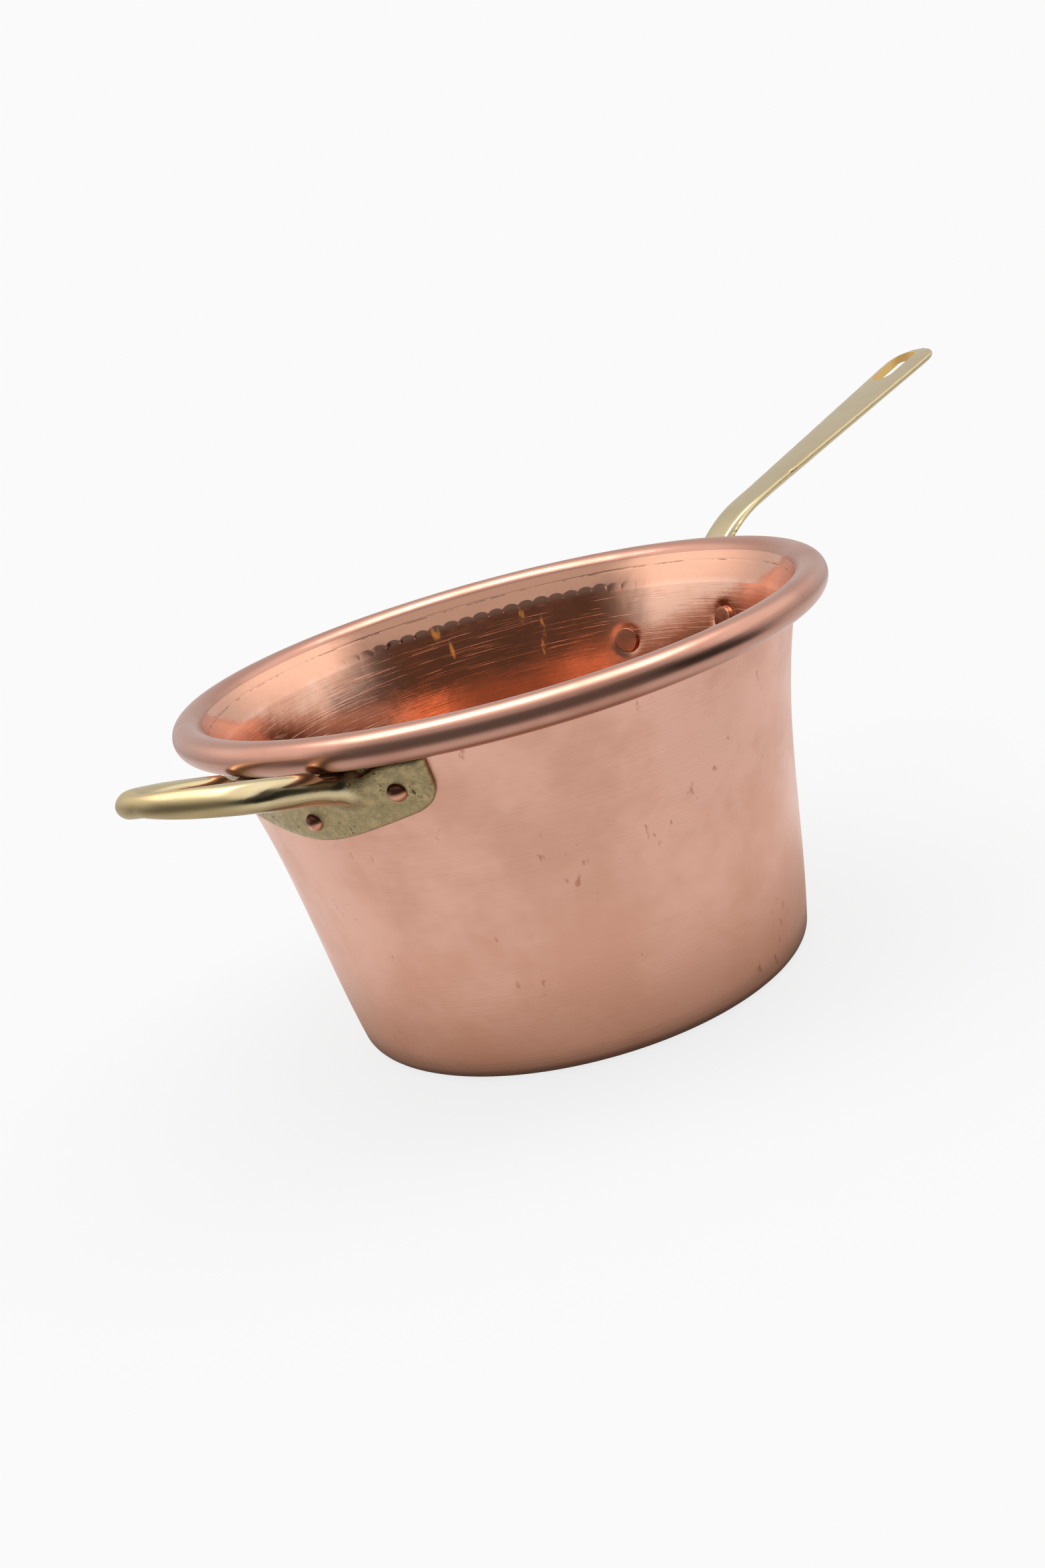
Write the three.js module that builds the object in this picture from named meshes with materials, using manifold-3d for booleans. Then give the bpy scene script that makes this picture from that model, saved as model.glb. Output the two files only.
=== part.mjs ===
import * as THREE from 'three';
import { mergeVertices } from 'three/addons/utils/BufferGeometryUtils.js';
import Module from 'manifold-3d';

// A copper polenta pot: a flat-based, flaring pot with a wired rim, a long cast handle
// and a cast helper bow. The origin is the centre of the base, +Z is up and the long
// handle points along +X. Driving dimensions are in millimetres and degrees.

// Pot: one copper sheet with a rounded base corner, its top edge curled out round a wire
const potHeight = 147;
const rimDiameter = 260;
const baseDiameter = 186.4;
const sheetThickness = 2;
const baseCornerRadius = 6;
const baseTaper = 10.5;
const rimFlare = 22;
const wireDiameter = 8;
const curlSlit = 1.2;

// Fits: the gap between touching pieces, and round a shank in its hole
const seatGap = 0.3;
const tailGap = 0.45;
const rollGap = 2;
const shankGap = 0.3;
const wireGap = 0.3;

// Rivets: a domed head on the handle's plate and a flat tail inside the pot
const shankDiameter = 5;
const headDiameter = 7;
const headHeight = 2.6;
const tailDiameter = 10.4;
const tailThickness = 1.2;

// Both handles: a cast plate wrapped on the wall
const plateThickness = 3;
const plateBevel = 1.2;
const plateApexRounding = 0.3;

// Long handle: its plate, as arc widths along the wall and drops below the rim's top
const longPlate = { width: 82, topDrop: 20, shoulderDrop: 46.5, apexDrop: 60, lobeWidth: 68, corner: 11 };
const longRivets = [
  { name: 'left', arc: 29.5, drop: 38 },
  { name: 'right', arc: -29.5, drop: 32 },
  { name: 'lower', arc: 0, drop: 50.5 },
];

// Long handle: a flat-topped bar with a rounded belly, which rises steeply off the plate, bends
// and widens on its way out to a hanging eye, set towards one side
const barReach = 341.5;
const barKneeStandoff = 23.5;
const barKneeDrop = 0.1;
const barRootSlope = 40;
const barSlope = 11.35;
const barBendLength = 21.5;
const barEdgeHeight = 0.8;
const barBellyDepth = 3.7;
const barWidth = 15.4;
const barEyeWidth = 24.6;
const barTaperLength = 135;
const barTipLength = 13;
const barTipShare = 0.985;
const barRootWidth = 36;
const barRootThickness = 9;
const barRootFlareLength = 36;
const barTopSquareness = 6;
const barBellySquareness = 4;
const eyeLength = 34.6;
const eyeWidth = 11.4;
const eyeInset = 3.6;
const eyeOffset = 3.9;

// Helper handle: its plate, which has an ear at each end, round from the long handle
const helperAzimuth = 183.4;
const helperPlate = {
  width: 107,
  topDrop: 18,
  shoulderDrop: 33.5,
  apexDrop: 42,
  lobeWidth: 95,
  corner: 9,
  ears: { rise: 4.6, start: 25, end: 43 },
};
const helperRivets = [
  { name: 'left', arc: 40.5, drop: 24 },
  { name: 'right', arc: -40.5, drop: 24 },
  { name: 'lower', arc: 0, drop: 33.1 },
];

// Helper handle: a rising bow, skirted at its roots, whose strands turn over towards the tip
const bowReach = 179;
const bowRootDrop = 19.8;
const bowSlope = 16.2;
const bowRootSpacing = 41;
const bowWidth = 45;
const bowStraightLength = 35;
const bowHeight = 11.4;
const bowTipHeight = 7.4;
const bowThickness = 8.8;
const bowSquareness = 2.5;
const bowTipSquareness = 1.9;
const bowRootFlare = 1.55;
const bowFlareShare = 0.2;
const bowRootSkirt = 0.7;
const bowSkirtShare = 0.14;
const bowTwist = 38;
const bowTwistStart = 0.3;
const bowTwistEnd = 0.62;

// Facets
const turnSegments = 64;
const cornerSegments = 3;
const wallSegments = 7;
const curlSegments = 14;
const wireSides = 10;
const rivetSides = 16;
const domeSegments = 4;
const plateSteps = 26;
const plateRows = 4;
const sectionSides = 12;
const bowSteps = 16;
const barSteps = 30;
const eyeSegments = 8;

const wasm = await Module();
wasm.setup();

const up = new THREE.Vector3(0, 0, 1);
const across = new THREE.Vector3(0, 1, 0);
const radians = THREE.MathUtils.degToRad;

// The wall's outer face: a cubic in height between the base corner and the curl
const wireRadius = wireDiameter / 2;
const curlRadius = wireRadius + wireGap;
const rollRadius = curlRadius + sheetThickness;
const rollCentre = new THREE.Vector2(rimDiameter / 2 - rollRadius, potHeight - rollRadius);
const flareAngle = radians(rimFlare);
const taperAngle = radians(baseTaper);
const wallFoot = new THREE.Vector2(baseDiameter / 2, baseCornerRadius * (1 - Math.sin(taperAngle)));
const wallHead = new THREE.Vector2(
  rollCentre.x - curlRadius * Math.cos(flareAngle),
  rollCentre.y + curlRadius * Math.sin(flareAngle),
);
const wallRise = wallHead.y - wallFoot.y;
const wallCurve = new THREE.CubicBezierCurve(
  wallFoot,
  new THREE.Vector2(wallFoot.x + Math.tan(taperAngle) * wallRise / 3, wallFoot.y + wallRise / 3),
  new THREE.Vector2(wallHead.x - Math.tan(flareAngle) * wallRise / 3, wallHead.y - wallRise / 3),
  wallHead,
);

function wallAt(z) {
  const share = (z - wallFoot.y) / wallRise;
  const point = wallCurve.getPoint(share);
  const tangent = wallCurve.getTangent(share);
  return { radius: point.x, normal: new THREE.Vector2(tangent.y, -tangent.x) };
}

// The radius, at height z, of a skin lying a distance outside the wall
function skinRadius(z, distance) {
  const { radius, normal } = wallAt(z);
  return radius + distance / normal.x;
}

// Solids and meshes
function solidOf(geometry) {
  const bare = geometry.clone();
  bare.deleteAttribute('normal');
  bare.deleteAttribute('uv');
  const merged = mergeVertices(bare);
  const corners = merged.index.array;
  const kept = [];
  for (let i = 0; i < corners.length; i += 3) {
    const [a, b, c] = [corners[i], corners[i + 1], corners[i + 2]];
    if (a !== b && b !== c && c !== a) kept.push(a, b, c);
  }
  const vertProperties = new Float32Array(merged.attributes.position.array);
  return new wasm.Manifold(new wasm.Mesh({ numProp: 3, vertProperties, triVerts: new Uint32Array(kept) }));
}

function geometryOf(solid) {
  const { vertProperties, triVerts } = solid.getMesh();
  const geometry = new THREE.BufferGeometry();
  geometry.setAttribute('position', new THREE.BufferAttribute(new Float32Array(vertProperties), 3));
  geometry.setIndex(new THREE.BufferAttribute(new Uint32Array(triVerts), 1));
  geometry.computeVertexNormals();
  return geometry;
}

// A profile of (radius, height) points turned about the Z axis
function revolve(profile, segments) {
  return new THREE.LatheGeometry(profile, segments).rotateX(Math.PI / 2);
}

// A skin over closed rings of points, each ring running counter-clockwise about the way it goes
function loft(rings) {
  const count = rings[0].length;
  const last = (rings.length - 1) * count;
  const corners = [];
  for (let row = 0; row < last; row += count) {
    for (let j = 0; j < count; j++) {
      const a = row + j;
      const b = row + (j + 1) % count;
      corners.push(a, b, a + count, b, b + count, a + count);
    }
  }
  for (let j = 1; j < count - 1; j++) {
    corners.push(0, j + 1, j, last, last + j, last + j + 1);
  }
  const geometry = new THREE.BufferGeometry().setFromPoints(rings.flat());
  return geometry.setIndex(corners);
}

// A rounded section, each half of which lies between half an ellipse and the box round it
function roundedRing(centre, side, rise, halfWidth, upper, lower = upper) {
  const ring = [];
  for (let j = 0; j < sectionSides; j++) {
    const turn = 2 * Math.PI * j / sectionSides;
    const [cos, sin] = [Math.cos(turn), Math.sin(turn)];
    const { height, squareness } = sin < 0 ? lower : upper;
    const stretch = (Math.abs(cos) ** squareness + Math.abs(sin) ** squareness) ** (-1 / squareness);
    ring.push(centre.clone()
      .addScaledVector(side, halfWidth * stretch * cos)
      .addScaledVector(rise, height * stretch * sin));
  }
  return ring;
}

// Pot body: the sheet's outer face from the base's centre to the end of the curl, and back inside
function sheetFaces() {
  const faces = [{ point: new THREE.Vector2(0, 0), normal: new THREE.Vector2(0, -1) }];
  const cornerCentre = new THREE.Vector2(
    wallFoot.x - baseCornerRadius * Math.cos(taperAngle),
    baseCornerRadius,
  );
  for (let i = 0; i <= cornerSegments; i++) {
    const angle = THREE.MathUtils.lerp(-Math.PI / 2, -taperAngle, i / cornerSegments);
    const normal = new THREE.Vector2(Math.cos(angle), Math.sin(angle));
    faces.push({ point: cornerCentre.clone().addScaledVector(normal, baseCornerRadius), normal });
  }
  for (let i = 1; i <= wallSegments; i++) {
    const z = wallFoot.y + wallRise * i / wallSegments;
    const { radius, normal } = wallAt(z);
    faces.push({ point: new THREE.Vector2(radius, z), normal });
  }
  const curlStart = Math.PI - flareAngle;
  for (let i = 1; i <= curlSegments; i++) {
    const angle = THREE.MathUtils.lerp(curlStart, curlEnd(), i / curlSegments);
    const spoke = new THREE.Vector2(Math.cos(angle), Math.sin(angle));
    faces.push({
      point: rollCentre.clone().addScaledVector(spoke, curlRadius),
      normal: spoke.negate(),
    });
  }
  return faces;
}

// The curl goes on round the wire until a slit is left between its edge and the wall
function curlEnd() {
  const chord = curlRadius - curlSlit;
  return -Math.PI - flareAngle + Math.acos(chord / rollRadius);
}

function potBodySolid() {
  const faces = sheetFaces();
  const outside = faces.map(({ point }) => point);
  const inside = faces.map(({ point, normal }) => point.clone().addScaledVector(normal, -sheetThickness));
  const profile = [...outside, ...inside.reverse(), outside[0]];
  return solidOf(revolve(profile, turnSegments));
}

function rimWireGeometry() {
  const profile = [];
  for (let i = 0; i <= wireSides; i++) {
    const angle = 2 * Math.PI * i / wireSides;
    const spoke = new THREE.Vector2(Math.cos(angle), Math.sin(angle));
    profile.push(rollCentre.clone().addScaledVector(spoke, wireRadius));
  }
  return revolve(profile, turnSegments);
}

// The space that the pot takes up, with the seat gap round it, which the castings are cut back from
function potClearanceSolid() {
  const fineSegments = 2 * turnSegments;
  const wall = [new THREE.Vector2(0, wallFoot.y)];
  for (let i = 0; i <= wallSegments; i++) {
    const z = wallFoot.y + wallRise * i / wallSegments;
    wall.push(new THREE.Vector2(skinRadius(z, seatGap), z));
  }
  wall.push(new THREE.Vector2(0, wallHead.y));
  const roll = [];
  for (let i = 0; i <= curlSegments; i++) {
    const angle = 2 * Math.PI * i / curlSegments;
    const spoke = new THREE.Vector2(Math.cos(angle), Math.sin(angle));
    roll.push(rollCentre.clone().addScaledVector(spoke, rollRadius + rollGap));
  }
  return solidOf(revolve(wall, fineSegments)).add(solidOf(revolve(roll, fineSegments)));
}

// Plates: a band round the wall, which may rise in an ear at each end
function plateUpperDrop({ topDrop, ears }, arc) {
  if (!ears) return topDrop;
  return topDrop - ears.rise * THREE.MathUtils.smoothstep(Math.abs(arc), ears.start, ears.end);
}

// A plate's lower edge swells to a rounded apex and turns up at the ends
function plateLowerDrop(plate, arc) {
  const lobe = Math.min(1, Math.abs(arc) / (plate.lobeWidth / 2));
  const flank = (share) => Math.hypot(share, plateApexRounding);
  const swell = (flank(1) - flank(lobe)) / (flank(1) - flank(0));
  const intoCorner = Math.max(0, Math.abs(arc) - (plate.width / 2 - plate.corner));
  const lift = plate.corner - Math.sqrt(Math.max(0, plate.corner ** 2 - intoCorner ** 2));
  return plate.shoulderDrop + (plate.apexDrop - plate.shoulderDrop) * swell - lift;
}

function plateRing(plate, arc, thickness) {
  const top = potHeight - plateUpperDrop(plate, arc);
  const bottom = potHeight - plateLowerDrop(plate, arc);
  const azimuth = arc / wallAt(potHeight - plate.topDrop).radius;
  const at = (z, distance) => {
    const radius = skinRadius(z, distance);
    return new THREE.Vector3(radius * Math.cos(azimuth), radius * Math.sin(azimuth), z);
  };
  const edge = thickness - plateBevel;
  const ring = [at(top, -sheetThickness), at(top, seatGap + edge)];
  for (let i = 0; i <= plateRows; i++) {
    const z = THREE.MathUtils.lerp(top - plateBevel, bottom + plateBevel, i / plateRows);
    ring.push(at(z, seatGap + thickness));
  }
  ring.push(at(bottom, seatGap + edge), at(bottom, -sheetThickness));
  return ring;
}

function plateSolid(plate) {
  const half = plate.width / 2;
  const flat = half - plateBevel;
  const rings = [plateRing(plate, -half, plateThickness - plateBevel)];
  for (let i = 0; i <= plateSteps; i++) {
    const arc = -flat * Math.cos(Math.PI * i / plateSteps);
    rings.push(plateRing(plate, arc, plateThickness));
  }
  rings.push(plateRing(plate, half, plateThickness - plateBevel));
  return solidOf(loft(rings));
}

// Rivets: each stands square to the wall, through the plate
function rivetFrame({ arc, drop }, plate) {
  const z = potHeight - drop;
  const { radius, normal } = wallAt(z);
  const azimuth = arc / wallAt(potHeight - plate.topDrop).radius;
  const frame = new THREE.Group();
  frame.position.set(radius * Math.cos(azimuth), radius * Math.sin(azimuth), z);
  const outward = new THREE.Vector3(
    normal.x * Math.cos(azimuth),
    normal.x * Math.sin(azimuth),
    normal.y,
  );
  frame.quaternion.setFromUnitVectors(up, outward);
  frame.updateMatrix();
  return frame;
}

function rivetGeometry() {
  const tailSeat = -sheetThickness - tailGap;
  const headSeat = seatGap + plateThickness + seatGap;
  const profile = [
    new THREE.Vector2(0, tailSeat - tailThickness),
    new THREE.Vector2(tailDiameter / 2, tailSeat - tailThickness),
    new THREE.Vector2(tailDiameter / 2, tailSeat),
    new THREE.Vector2(shankDiameter / 2, tailSeat),
    new THREE.Vector2(shankDiameter / 2, headSeat),
  ];
  for (let i = 0; i <= domeSegments; i++) {
    const angle = Math.PI / 2 * i / domeSegments;
    profile.push(new THREE.Vector2(
      headDiameter / 2 * Math.cos(angle),
      headSeat + headHeight * Math.sin(angle),
    ));
  }
  profile[profile.length - 1].x = 0;
  return revolve(profile, rivetSides);
}

function rivetHoleSolid(rivet, plate) {
  const reach = tailDiameter;
  const profile = [
    new THREE.Vector2(0, -reach),
    new THREE.Vector2(shankDiameter / 2 + shankGap, -reach),
    new THREE.Vector2(shankDiameter / 2 + shankGap, reach),
    new THREE.Vector2(0, reach),
  ];
  return solidOf(revolve(profile, rivetSides).applyMatrix4(rivetFrame(rivet, plate).matrix));
}

function drilled(solid, rivets, plate, azimuth) {
  const turn = new THREE.Matrix4().makeRotationZ(azimuth);
  return rivets.reduce((rest, rivet) => {
    const hole = geometryOf(rivetHoleSolid(rivet, plate)).applyMatrix4(turn);
    return rest.subtract(solidOf(hole));
  }, solid);
}

// Long handle: the bar's middle line in the XZ plane, from inside the plate to the tip
function barPath() {
  const barKneeRadius = rimDiameter / 2 + barKneeStandoff;
  const knee = new THREE.Vector3(barKneeRadius, 0, potHeight - barKneeDrop);
  const climb = new THREE.Vector3(Math.cos(radians(barRootSlope)), 0, Math.sin(radians(barRootSlope)));
  const run = new THREE.Vector3(Math.cos(radians(barSlope)), 0, Math.sin(radians(barSlope)));
  const bendStart = knee.clone().addScaledVector(climb, -barBendLength);
  const bendEnd = knee.clone().addScaledVector(run, barBendLength);
  const root = wallAt(potHeight - longPlate.shoulderDrop).radius;
  const start = knee.clone().addScaledVector(climb, (root - knee.x) / climb.x);
  const tip = knee.clone().addScaledVector(run, (barReach - knee.x) / run.x);
  const path = new THREE.CurvePath();
  path.add(new THREE.LineCurve3(start, bendStart));
  path.add(new THREE.QuadraticBezierCurve3(bendStart, knee, bendEnd));
  path.add(new THREE.LineCurve3(bendEnd, tip));
  return path;
}

// The bar is wide and thick where it leaves the plate, slim at the bend and wide again at its eye
function barSection(along, length) {
  const root = Math.max(0, 1 - along / barRootFlareLength) ** 2;
  const eyeMiddle = length - eyeInset - eyeLength / 2;
  const swell = THREE.MathUtils.clamp(1 + (along - eyeMiddle) / barTaperLength, 0, 1);
  const body = THREE.MathUtils.lerp(barWidth, barEyeWidth, swell);
  const intoTip = Math.max(0, along - (length - barTipLength)) / barTipLength;
  const tip = Math.sqrt(1 - (barTipShare * intoTip) ** 2);
  const upper = THREE.MathUtils.lerp(barEdgeHeight, barRootThickness / 2, root);
  const lower = THREE.MathUtils.lerp(barBellyDepth, barRootThickness / 2, root);
  return {
    halfWidth: THREE.MathUtils.lerp(body, barRootWidth, root) / 2 * tip,
    upper: { height: upper, squareness: barTopSquareness },
    lower: { height: lower, squareness: barBellySquareness },
  };
}

function barSolid(path) {
  const length = path.getLength();
  const rings = [];
  for (let i = 0; i <= barSteps; i++) {
    const share = Math.sin(Math.PI / 2 * i / barSteps);
    const tangent = path.getTangentAt(share);
    const rise = new THREE.Vector3().crossVectors(tangent, across);
    const { halfWidth, upper, lower } = barSection(share * length, length);
    rings.push(roundedRing(path.getPointAt(share), across, rise, halfWidth, upper, lower));
  }
  return solidOf(loft(rings));
}

function eyeSolid(path) {
  const half = eyeLength / 2 - eyeWidth / 2;
  const slot = new THREE.Shape();
  slot.absarc(half, 0, eyeWidth / 2, -Math.PI / 2, Math.PI / 2);
  slot.absarc(-half, 0, eyeWidth / 2, Math.PI / 2, 3 * Math.PI / 2);
  const depth = 4 * (barEdgeHeight + barBellyDepth);
  const cut = new THREE.ExtrudeGeometry(slot, { depth, bevelEnabled: false, curveSegments: eyeSegments });
  const share = 1 - (eyeInset + eyeLength / 2) / path.getLength();
  const middle = path.getPointAt(share);
  cut.translate(0, eyeOffset, -depth / 2).rotateY(-radians(barSlope)).translate(middle.x, 0, middle.z);
  return solidOf(cut);
}

function longHandleGeometry(clearance) {
  const path = barPath();
  const casting = plateSolid(longPlate).add(barSolid(path)).subtract(clearance).subtract(eyeSolid(path));
  return geometryOf(drilled(casting, longRivets, longPlate, 0));
}

// Helper handle: a bow in a plane that rises outward, thick at its roots and slim at its tip
function bowSolid() {
  const slope = radians(bowSlope);
  const out = new THREE.Vector3(Math.cos(slope), 0, Math.sin(slope));
  const rise = new THREE.Vector3(-Math.sin(slope), 0, Math.cos(slope));
  const rootHeight = potHeight - bowRootDrop;
  const origin = new THREE.Vector3(wallAt(rootHeight).radius, 0, rootHeight);
  const at = (reach, side) => origin.clone().addScaledVector(out, reach).addScaledVector(across, side);
  const length = (bowReach - origin.x) / out.x;
  const rootSide = bowRootSpacing / 2;
  const bowSide = rootSide + (bowWidth - bowRootSpacing);
  const rootDepth = Math.sqrt(origin.x ** 2 - rootSide ** 2) - sheetThickness - origin.x;
  const rings = [];
  for (const way of [1, -1]) {
    const strand = new THREE.CubicBezierCurve3(
      at(rootDepth, way * rootSide),
      at(bowStraightLength, way * bowSide),
      at(length, way * bowSide),
      at(length, 0),
    );
    const shares = Array.from({ length: bowSteps }, (_, i) => (way > 0 ? i : bowSteps - i) / bowSteps);
    for (const share of way > 0 ? shares : [...shares, 0]) {
      const tangent = strand.getTangent(share).multiplyScalar(way);
      const twist = radians(bowTwist) * THREE.MathUtils.smoothstep(share, bowTwistStart, bowTwistEnd);
      const side = new THREE.Vector3().crossVectors(rise, tangent).applyAxisAngle(tangent, twist);
      const edge = rise.clone().applyAxisAngle(tangent, twist);
      const flare = 1 + (bowRootFlare - 1) * Math.max(0, 1 - share / bowFlareShare) ** 2;
      const height = THREE.MathUtils.lerp(bowHeight, bowTipHeight, share ** 3);
      const squareness = THREE.MathUtils.lerp(bowSquareness, bowTipSquareness, share ** 3);
      const skirt = 1 + bowRootSkirt * Math.max(0, 1 - share / bowSkirtShare) ** 2;
      const halfWidth = bowThickness / 2 * flare * skirt;
      const section = { height: height / 2 * flare, squareness };
      rings.push(roundedRing(strand.getPoint(share), side, edge, halfWidth, section));
    }
  }
  return solidOf(loft(rings));
}

function helperHandleGeometry(clearance) {
  const casting = plateSolid(helperPlate).add(bowSolid()).subtract(clearance);
  return geometryOf(drilled(casting, helperRivets, helperPlate, 0));
}

function potBodyGeometry() {
  const bare = potBodySolid();
  const forLong = drilled(bare, longRivets, longPlate, 0);
  return geometryOf(drilled(forLong, helperRivets, helperPlate, radians(helperAzimuth)));
}

// Materials
const metal = (color, roughness) => new THREE.MeshStandardMaterial({ color, roughness, metalness: 1 });
const copper = metal(0xc5917c, 0.35);
const rivetCopper = metal(0xb98a70, 0.3);
const brass = metal(0xb9a87c, 0.25);
const iron = metal(0x5a5654, 0.6);

function piece(name, geometry, material) {
  const mesh = new THREE.Mesh(geometry, material);
  mesh.name = name;
  return mesh;
}

// A handle and its rivets in one group, which is then turned to the handle's place on the wall
function handleGroup(name, geometry, rivets, plate) {
  const group = new THREE.Group();
  group.add(piece(name, geometry, brass));
  for (const rivet of rivets) {
    const frame = rivetFrame(rivet, plate);
    frame.add(piece(`${name}_rivet_${rivet.name}`, rivetGeometry(), rivetCopper));
    group.add(frame);
  }
  return group;
}

const clearance = potClearanceSolid();
const longHandle = handleGroup('long_handle', longHandleGeometry(clearance), longRivets, longPlate);
const helperHandle = handleGroup('helper_handle', helperHandleGeometry(clearance), helperRivets, helperPlate);
helperHandle.rotation.z = radians(helperAzimuth);

const pot = new THREE.Group();
pot.add(piece('pot_body', potBodyGeometry(), copper));
pot.add(piece('rim_wire', rimWireGeometry(), iron));
pot.add(longHandle);
pot.add(helperHandle);

export default pot;
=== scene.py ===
import bpy
import bmesh
import math
import numpy as np
from mathutils import Matrix, Vector
from mathutils.bvhtree import BVHTree


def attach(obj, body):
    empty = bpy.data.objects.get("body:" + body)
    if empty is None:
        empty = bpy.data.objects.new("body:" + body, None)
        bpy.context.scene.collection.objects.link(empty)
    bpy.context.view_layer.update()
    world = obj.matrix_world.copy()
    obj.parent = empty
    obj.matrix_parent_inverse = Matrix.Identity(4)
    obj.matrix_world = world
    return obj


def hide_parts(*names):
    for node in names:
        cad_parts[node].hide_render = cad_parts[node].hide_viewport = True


# Copper polenta pot: sizes are in millimetres, meshes in metres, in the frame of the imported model
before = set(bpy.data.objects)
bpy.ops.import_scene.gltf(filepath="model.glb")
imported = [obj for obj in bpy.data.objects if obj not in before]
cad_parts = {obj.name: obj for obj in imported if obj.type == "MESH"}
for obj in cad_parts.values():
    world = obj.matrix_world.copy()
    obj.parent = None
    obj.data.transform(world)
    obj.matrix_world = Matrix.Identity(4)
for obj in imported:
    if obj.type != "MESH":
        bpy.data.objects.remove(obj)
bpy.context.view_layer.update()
mm = 0.001
scene = bpy.context.scene
print("frame loaded:", ", ".join(sorted(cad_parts)))


# Node trees

class Wire:  # an output socket that works in Python expressions
    def __init__(self, tree, socket):
        self.tree = tree
        self.socket = socket

    def __add__(self, other):
        return self.tree.math("ADD", self, other)

    def __radd__(self, other):
        return self.tree.math("ADD", other, self)

    def __sub__(self, other):
        return self.tree.math("SUBTRACT", self, other)

    def __rsub__(self, other):
        return self.tree.math("SUBTRACT", other, self)

    def __mul__(self, other):
        return self.tree.math("MULTIPLY", self, other)

    def __rmul__(self, other):
        return self.tree.math("MULTIPLY", other, self)

    def __truediv__(self, other):
        return self.tree.math("DIVIDE", self, other)

    def __rtruediv__(self, other):
        return self.tree.math("DIVIDE", other, self)


class Tree:  # a shader or geometry node tree under construction
    def __init__(self, nodeTree):
        self.nodeTree = nodeTree
        nodeTree.nodes.clear()

    def node(self, kind, settings=None, sockets=None, give=0):
        made = self.nodeTree.nodes.new(kind)
        for key, value in (settings or {}).items():
            setattr(made, key, value)
        for key, value in (sockets or {}).items():
            if isinstance(value, Wire):
                self.nodeTree.links.new(value.socket, made.inputs[key])
            else:
                made.inputs[key].default_value = value
        return Wire(self, made.outputs[give]) if made.outputs else made

    def wires(self, wire):  # every output of the wire's node
        return [Wire(self, output) for output in wire.socket.node.outputs]

    def math(self, operation, *values):
        return self.node("ShaderNodeMath", {"operation": operation}, dict(enumerate(values)))

    def ramp(self, value, low, high):  # 0 below low, 1 above high, smooth between
        return self.node("ShaderNodeMapRange", {"interpolation_type": "SMOOTHSTEP"},
                         {0: value, 1: low, 2: high})

    def blend(self, factor, first, second):  # two colours
        return self.node("ShaderNodeMix", {"data_type": "RGBA"}, {0: factor, 6: first, 7: second}, 2)

    def xyz(self, vector):
        return self.wires(self.node("ShaderNodeSeparateXYZ", None, {0: vector}))

    def length(self, x, y):
        return self.math("SQRT", x * x + y * y)


class Finish(Tree):  # a material under construction
    def __init__(self, name):
        self.material = bpy.data.materials.new(name)
        self.material.use_nodes = True
        super().__init__(self.material.node_tree)
        self.place = self.node("ShaderNodeTexCoord", give="Object")

    def noise(self, scale, detail=3.0, roughness=0.55):  # scale is a number or one per axis
        scales = scale if isinstance(scale, tuple) else (scale,) * 3
        place = self.node("ShaderNodeMapping", None, {0: self.place, 3: scales})
        return self.node("ShaderNodeTexNoise", None, {0: place, 2: 1.0, 3: detail, 4: roughness})

    def patches(self, pattern):  # 0 to 1, from the values of a noise and the two levels that it is cut at
        noise, low, high = pattern
        return self.ramp(self.noise(*noise), low, high)

    def swing(self, value, reach):  # a value from 0 to 1 as a change up and down by half the reach
        return reach * (value - 0.5)

    def attribute(self, name):
        return self.node("ShaderNodeAttribute", {"attribute_name": name}, give="Fac")

    def layers(self, colour, *coats):  # each coat is a share and a colour, laid over what is there
        for share, coat in coats:
            colour = self.blend(share, colour, coat)
        return colour

    def bump(self, height, depth, under=None):
        sockets = {"Height": height, "Distance": depth * mm, "Strength": 1.0}
        if under:
            sockets["Normal"] = under
        return self.node("ShaderNodeBump", None, sockets)

    def metal(self, colour, roughness, normal, metallic=1.0):
        shader = self.node("ShaderNodeBsdfPrincipled", None, {
            "Base Color": colour, "Metallic": metallic, "Roughness": roughness, "Normal": normal})
        self.node("ShaderNodeOutputMaterial", None, {0: shader})
        return self.material


def shade(red, green, blue):  # a colour written as a screen shows it
    def linear(part):
        part /= 255
        return part / 12.92 if part <= 0.04045 else ((part + 0.055) / 1.055) ** 2.4
    return (linear(red), linear(green), linear(blue), 1)


def lerp(start, end, share):
    return start + (end - start) * share


def heading(degrees):  # cosine and sine of an angle
    turn = math.radians(degrees)
    return math.cos(turn), math.sin(turn)


# Mesh helpers

def newObject(name, points, faces):
    mesh = bpy.data.meshes.new(name)
    mesh.from_pydata([tuple(p) for p in np.asarray(points) * mm], [], faces)
    mesh.validate()
    mesh.polygons.foreach_set("use_smooth", [True] * len(mesh.polygons))
    made = bpy.data.objects.new(name, mesh)
    scene.collection.objects.link(made)
    return made


def settled(piece):  # makes the piece's modifiers part of a plain mesh
    graph = bpy.context.evaluated_depsgraph_get()
    mesh = bpy.data.meshes.new_from_object(piece.evaluated_get(graph), depsgraph=graph)
    piece.modifiers.clear()
    piece.data = mesh
    mesh.name = piece.name


def discard(piece):
    mesh = piece.data
    bpy.data.objects.remove(piece)
    bpy.data.meshes.remove(mesh)


def faceOutwards(piece):
    work = bmesh.new()
    work.from_mesh(piece.data)
    bmesh.ops.recalc_face_normals(work, faces=work.faces)
    work.to_mesh(piece.data)
    work.free()


def ring(radius, z, count):  # points round the axis
    turn = 2 * math.pi * np.arange(count) / count
    return np.stack([radius * np.cos(turn), radius * np.sin(turn), np.full(count, z)], 1)


def ringFaces(first, second, count):  # faces between two rings, from the numbers of their first points
    return [(first + i, first + (i + 1) % count, second + (i + 1) % count, second + i) for i in range(count)]


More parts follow.
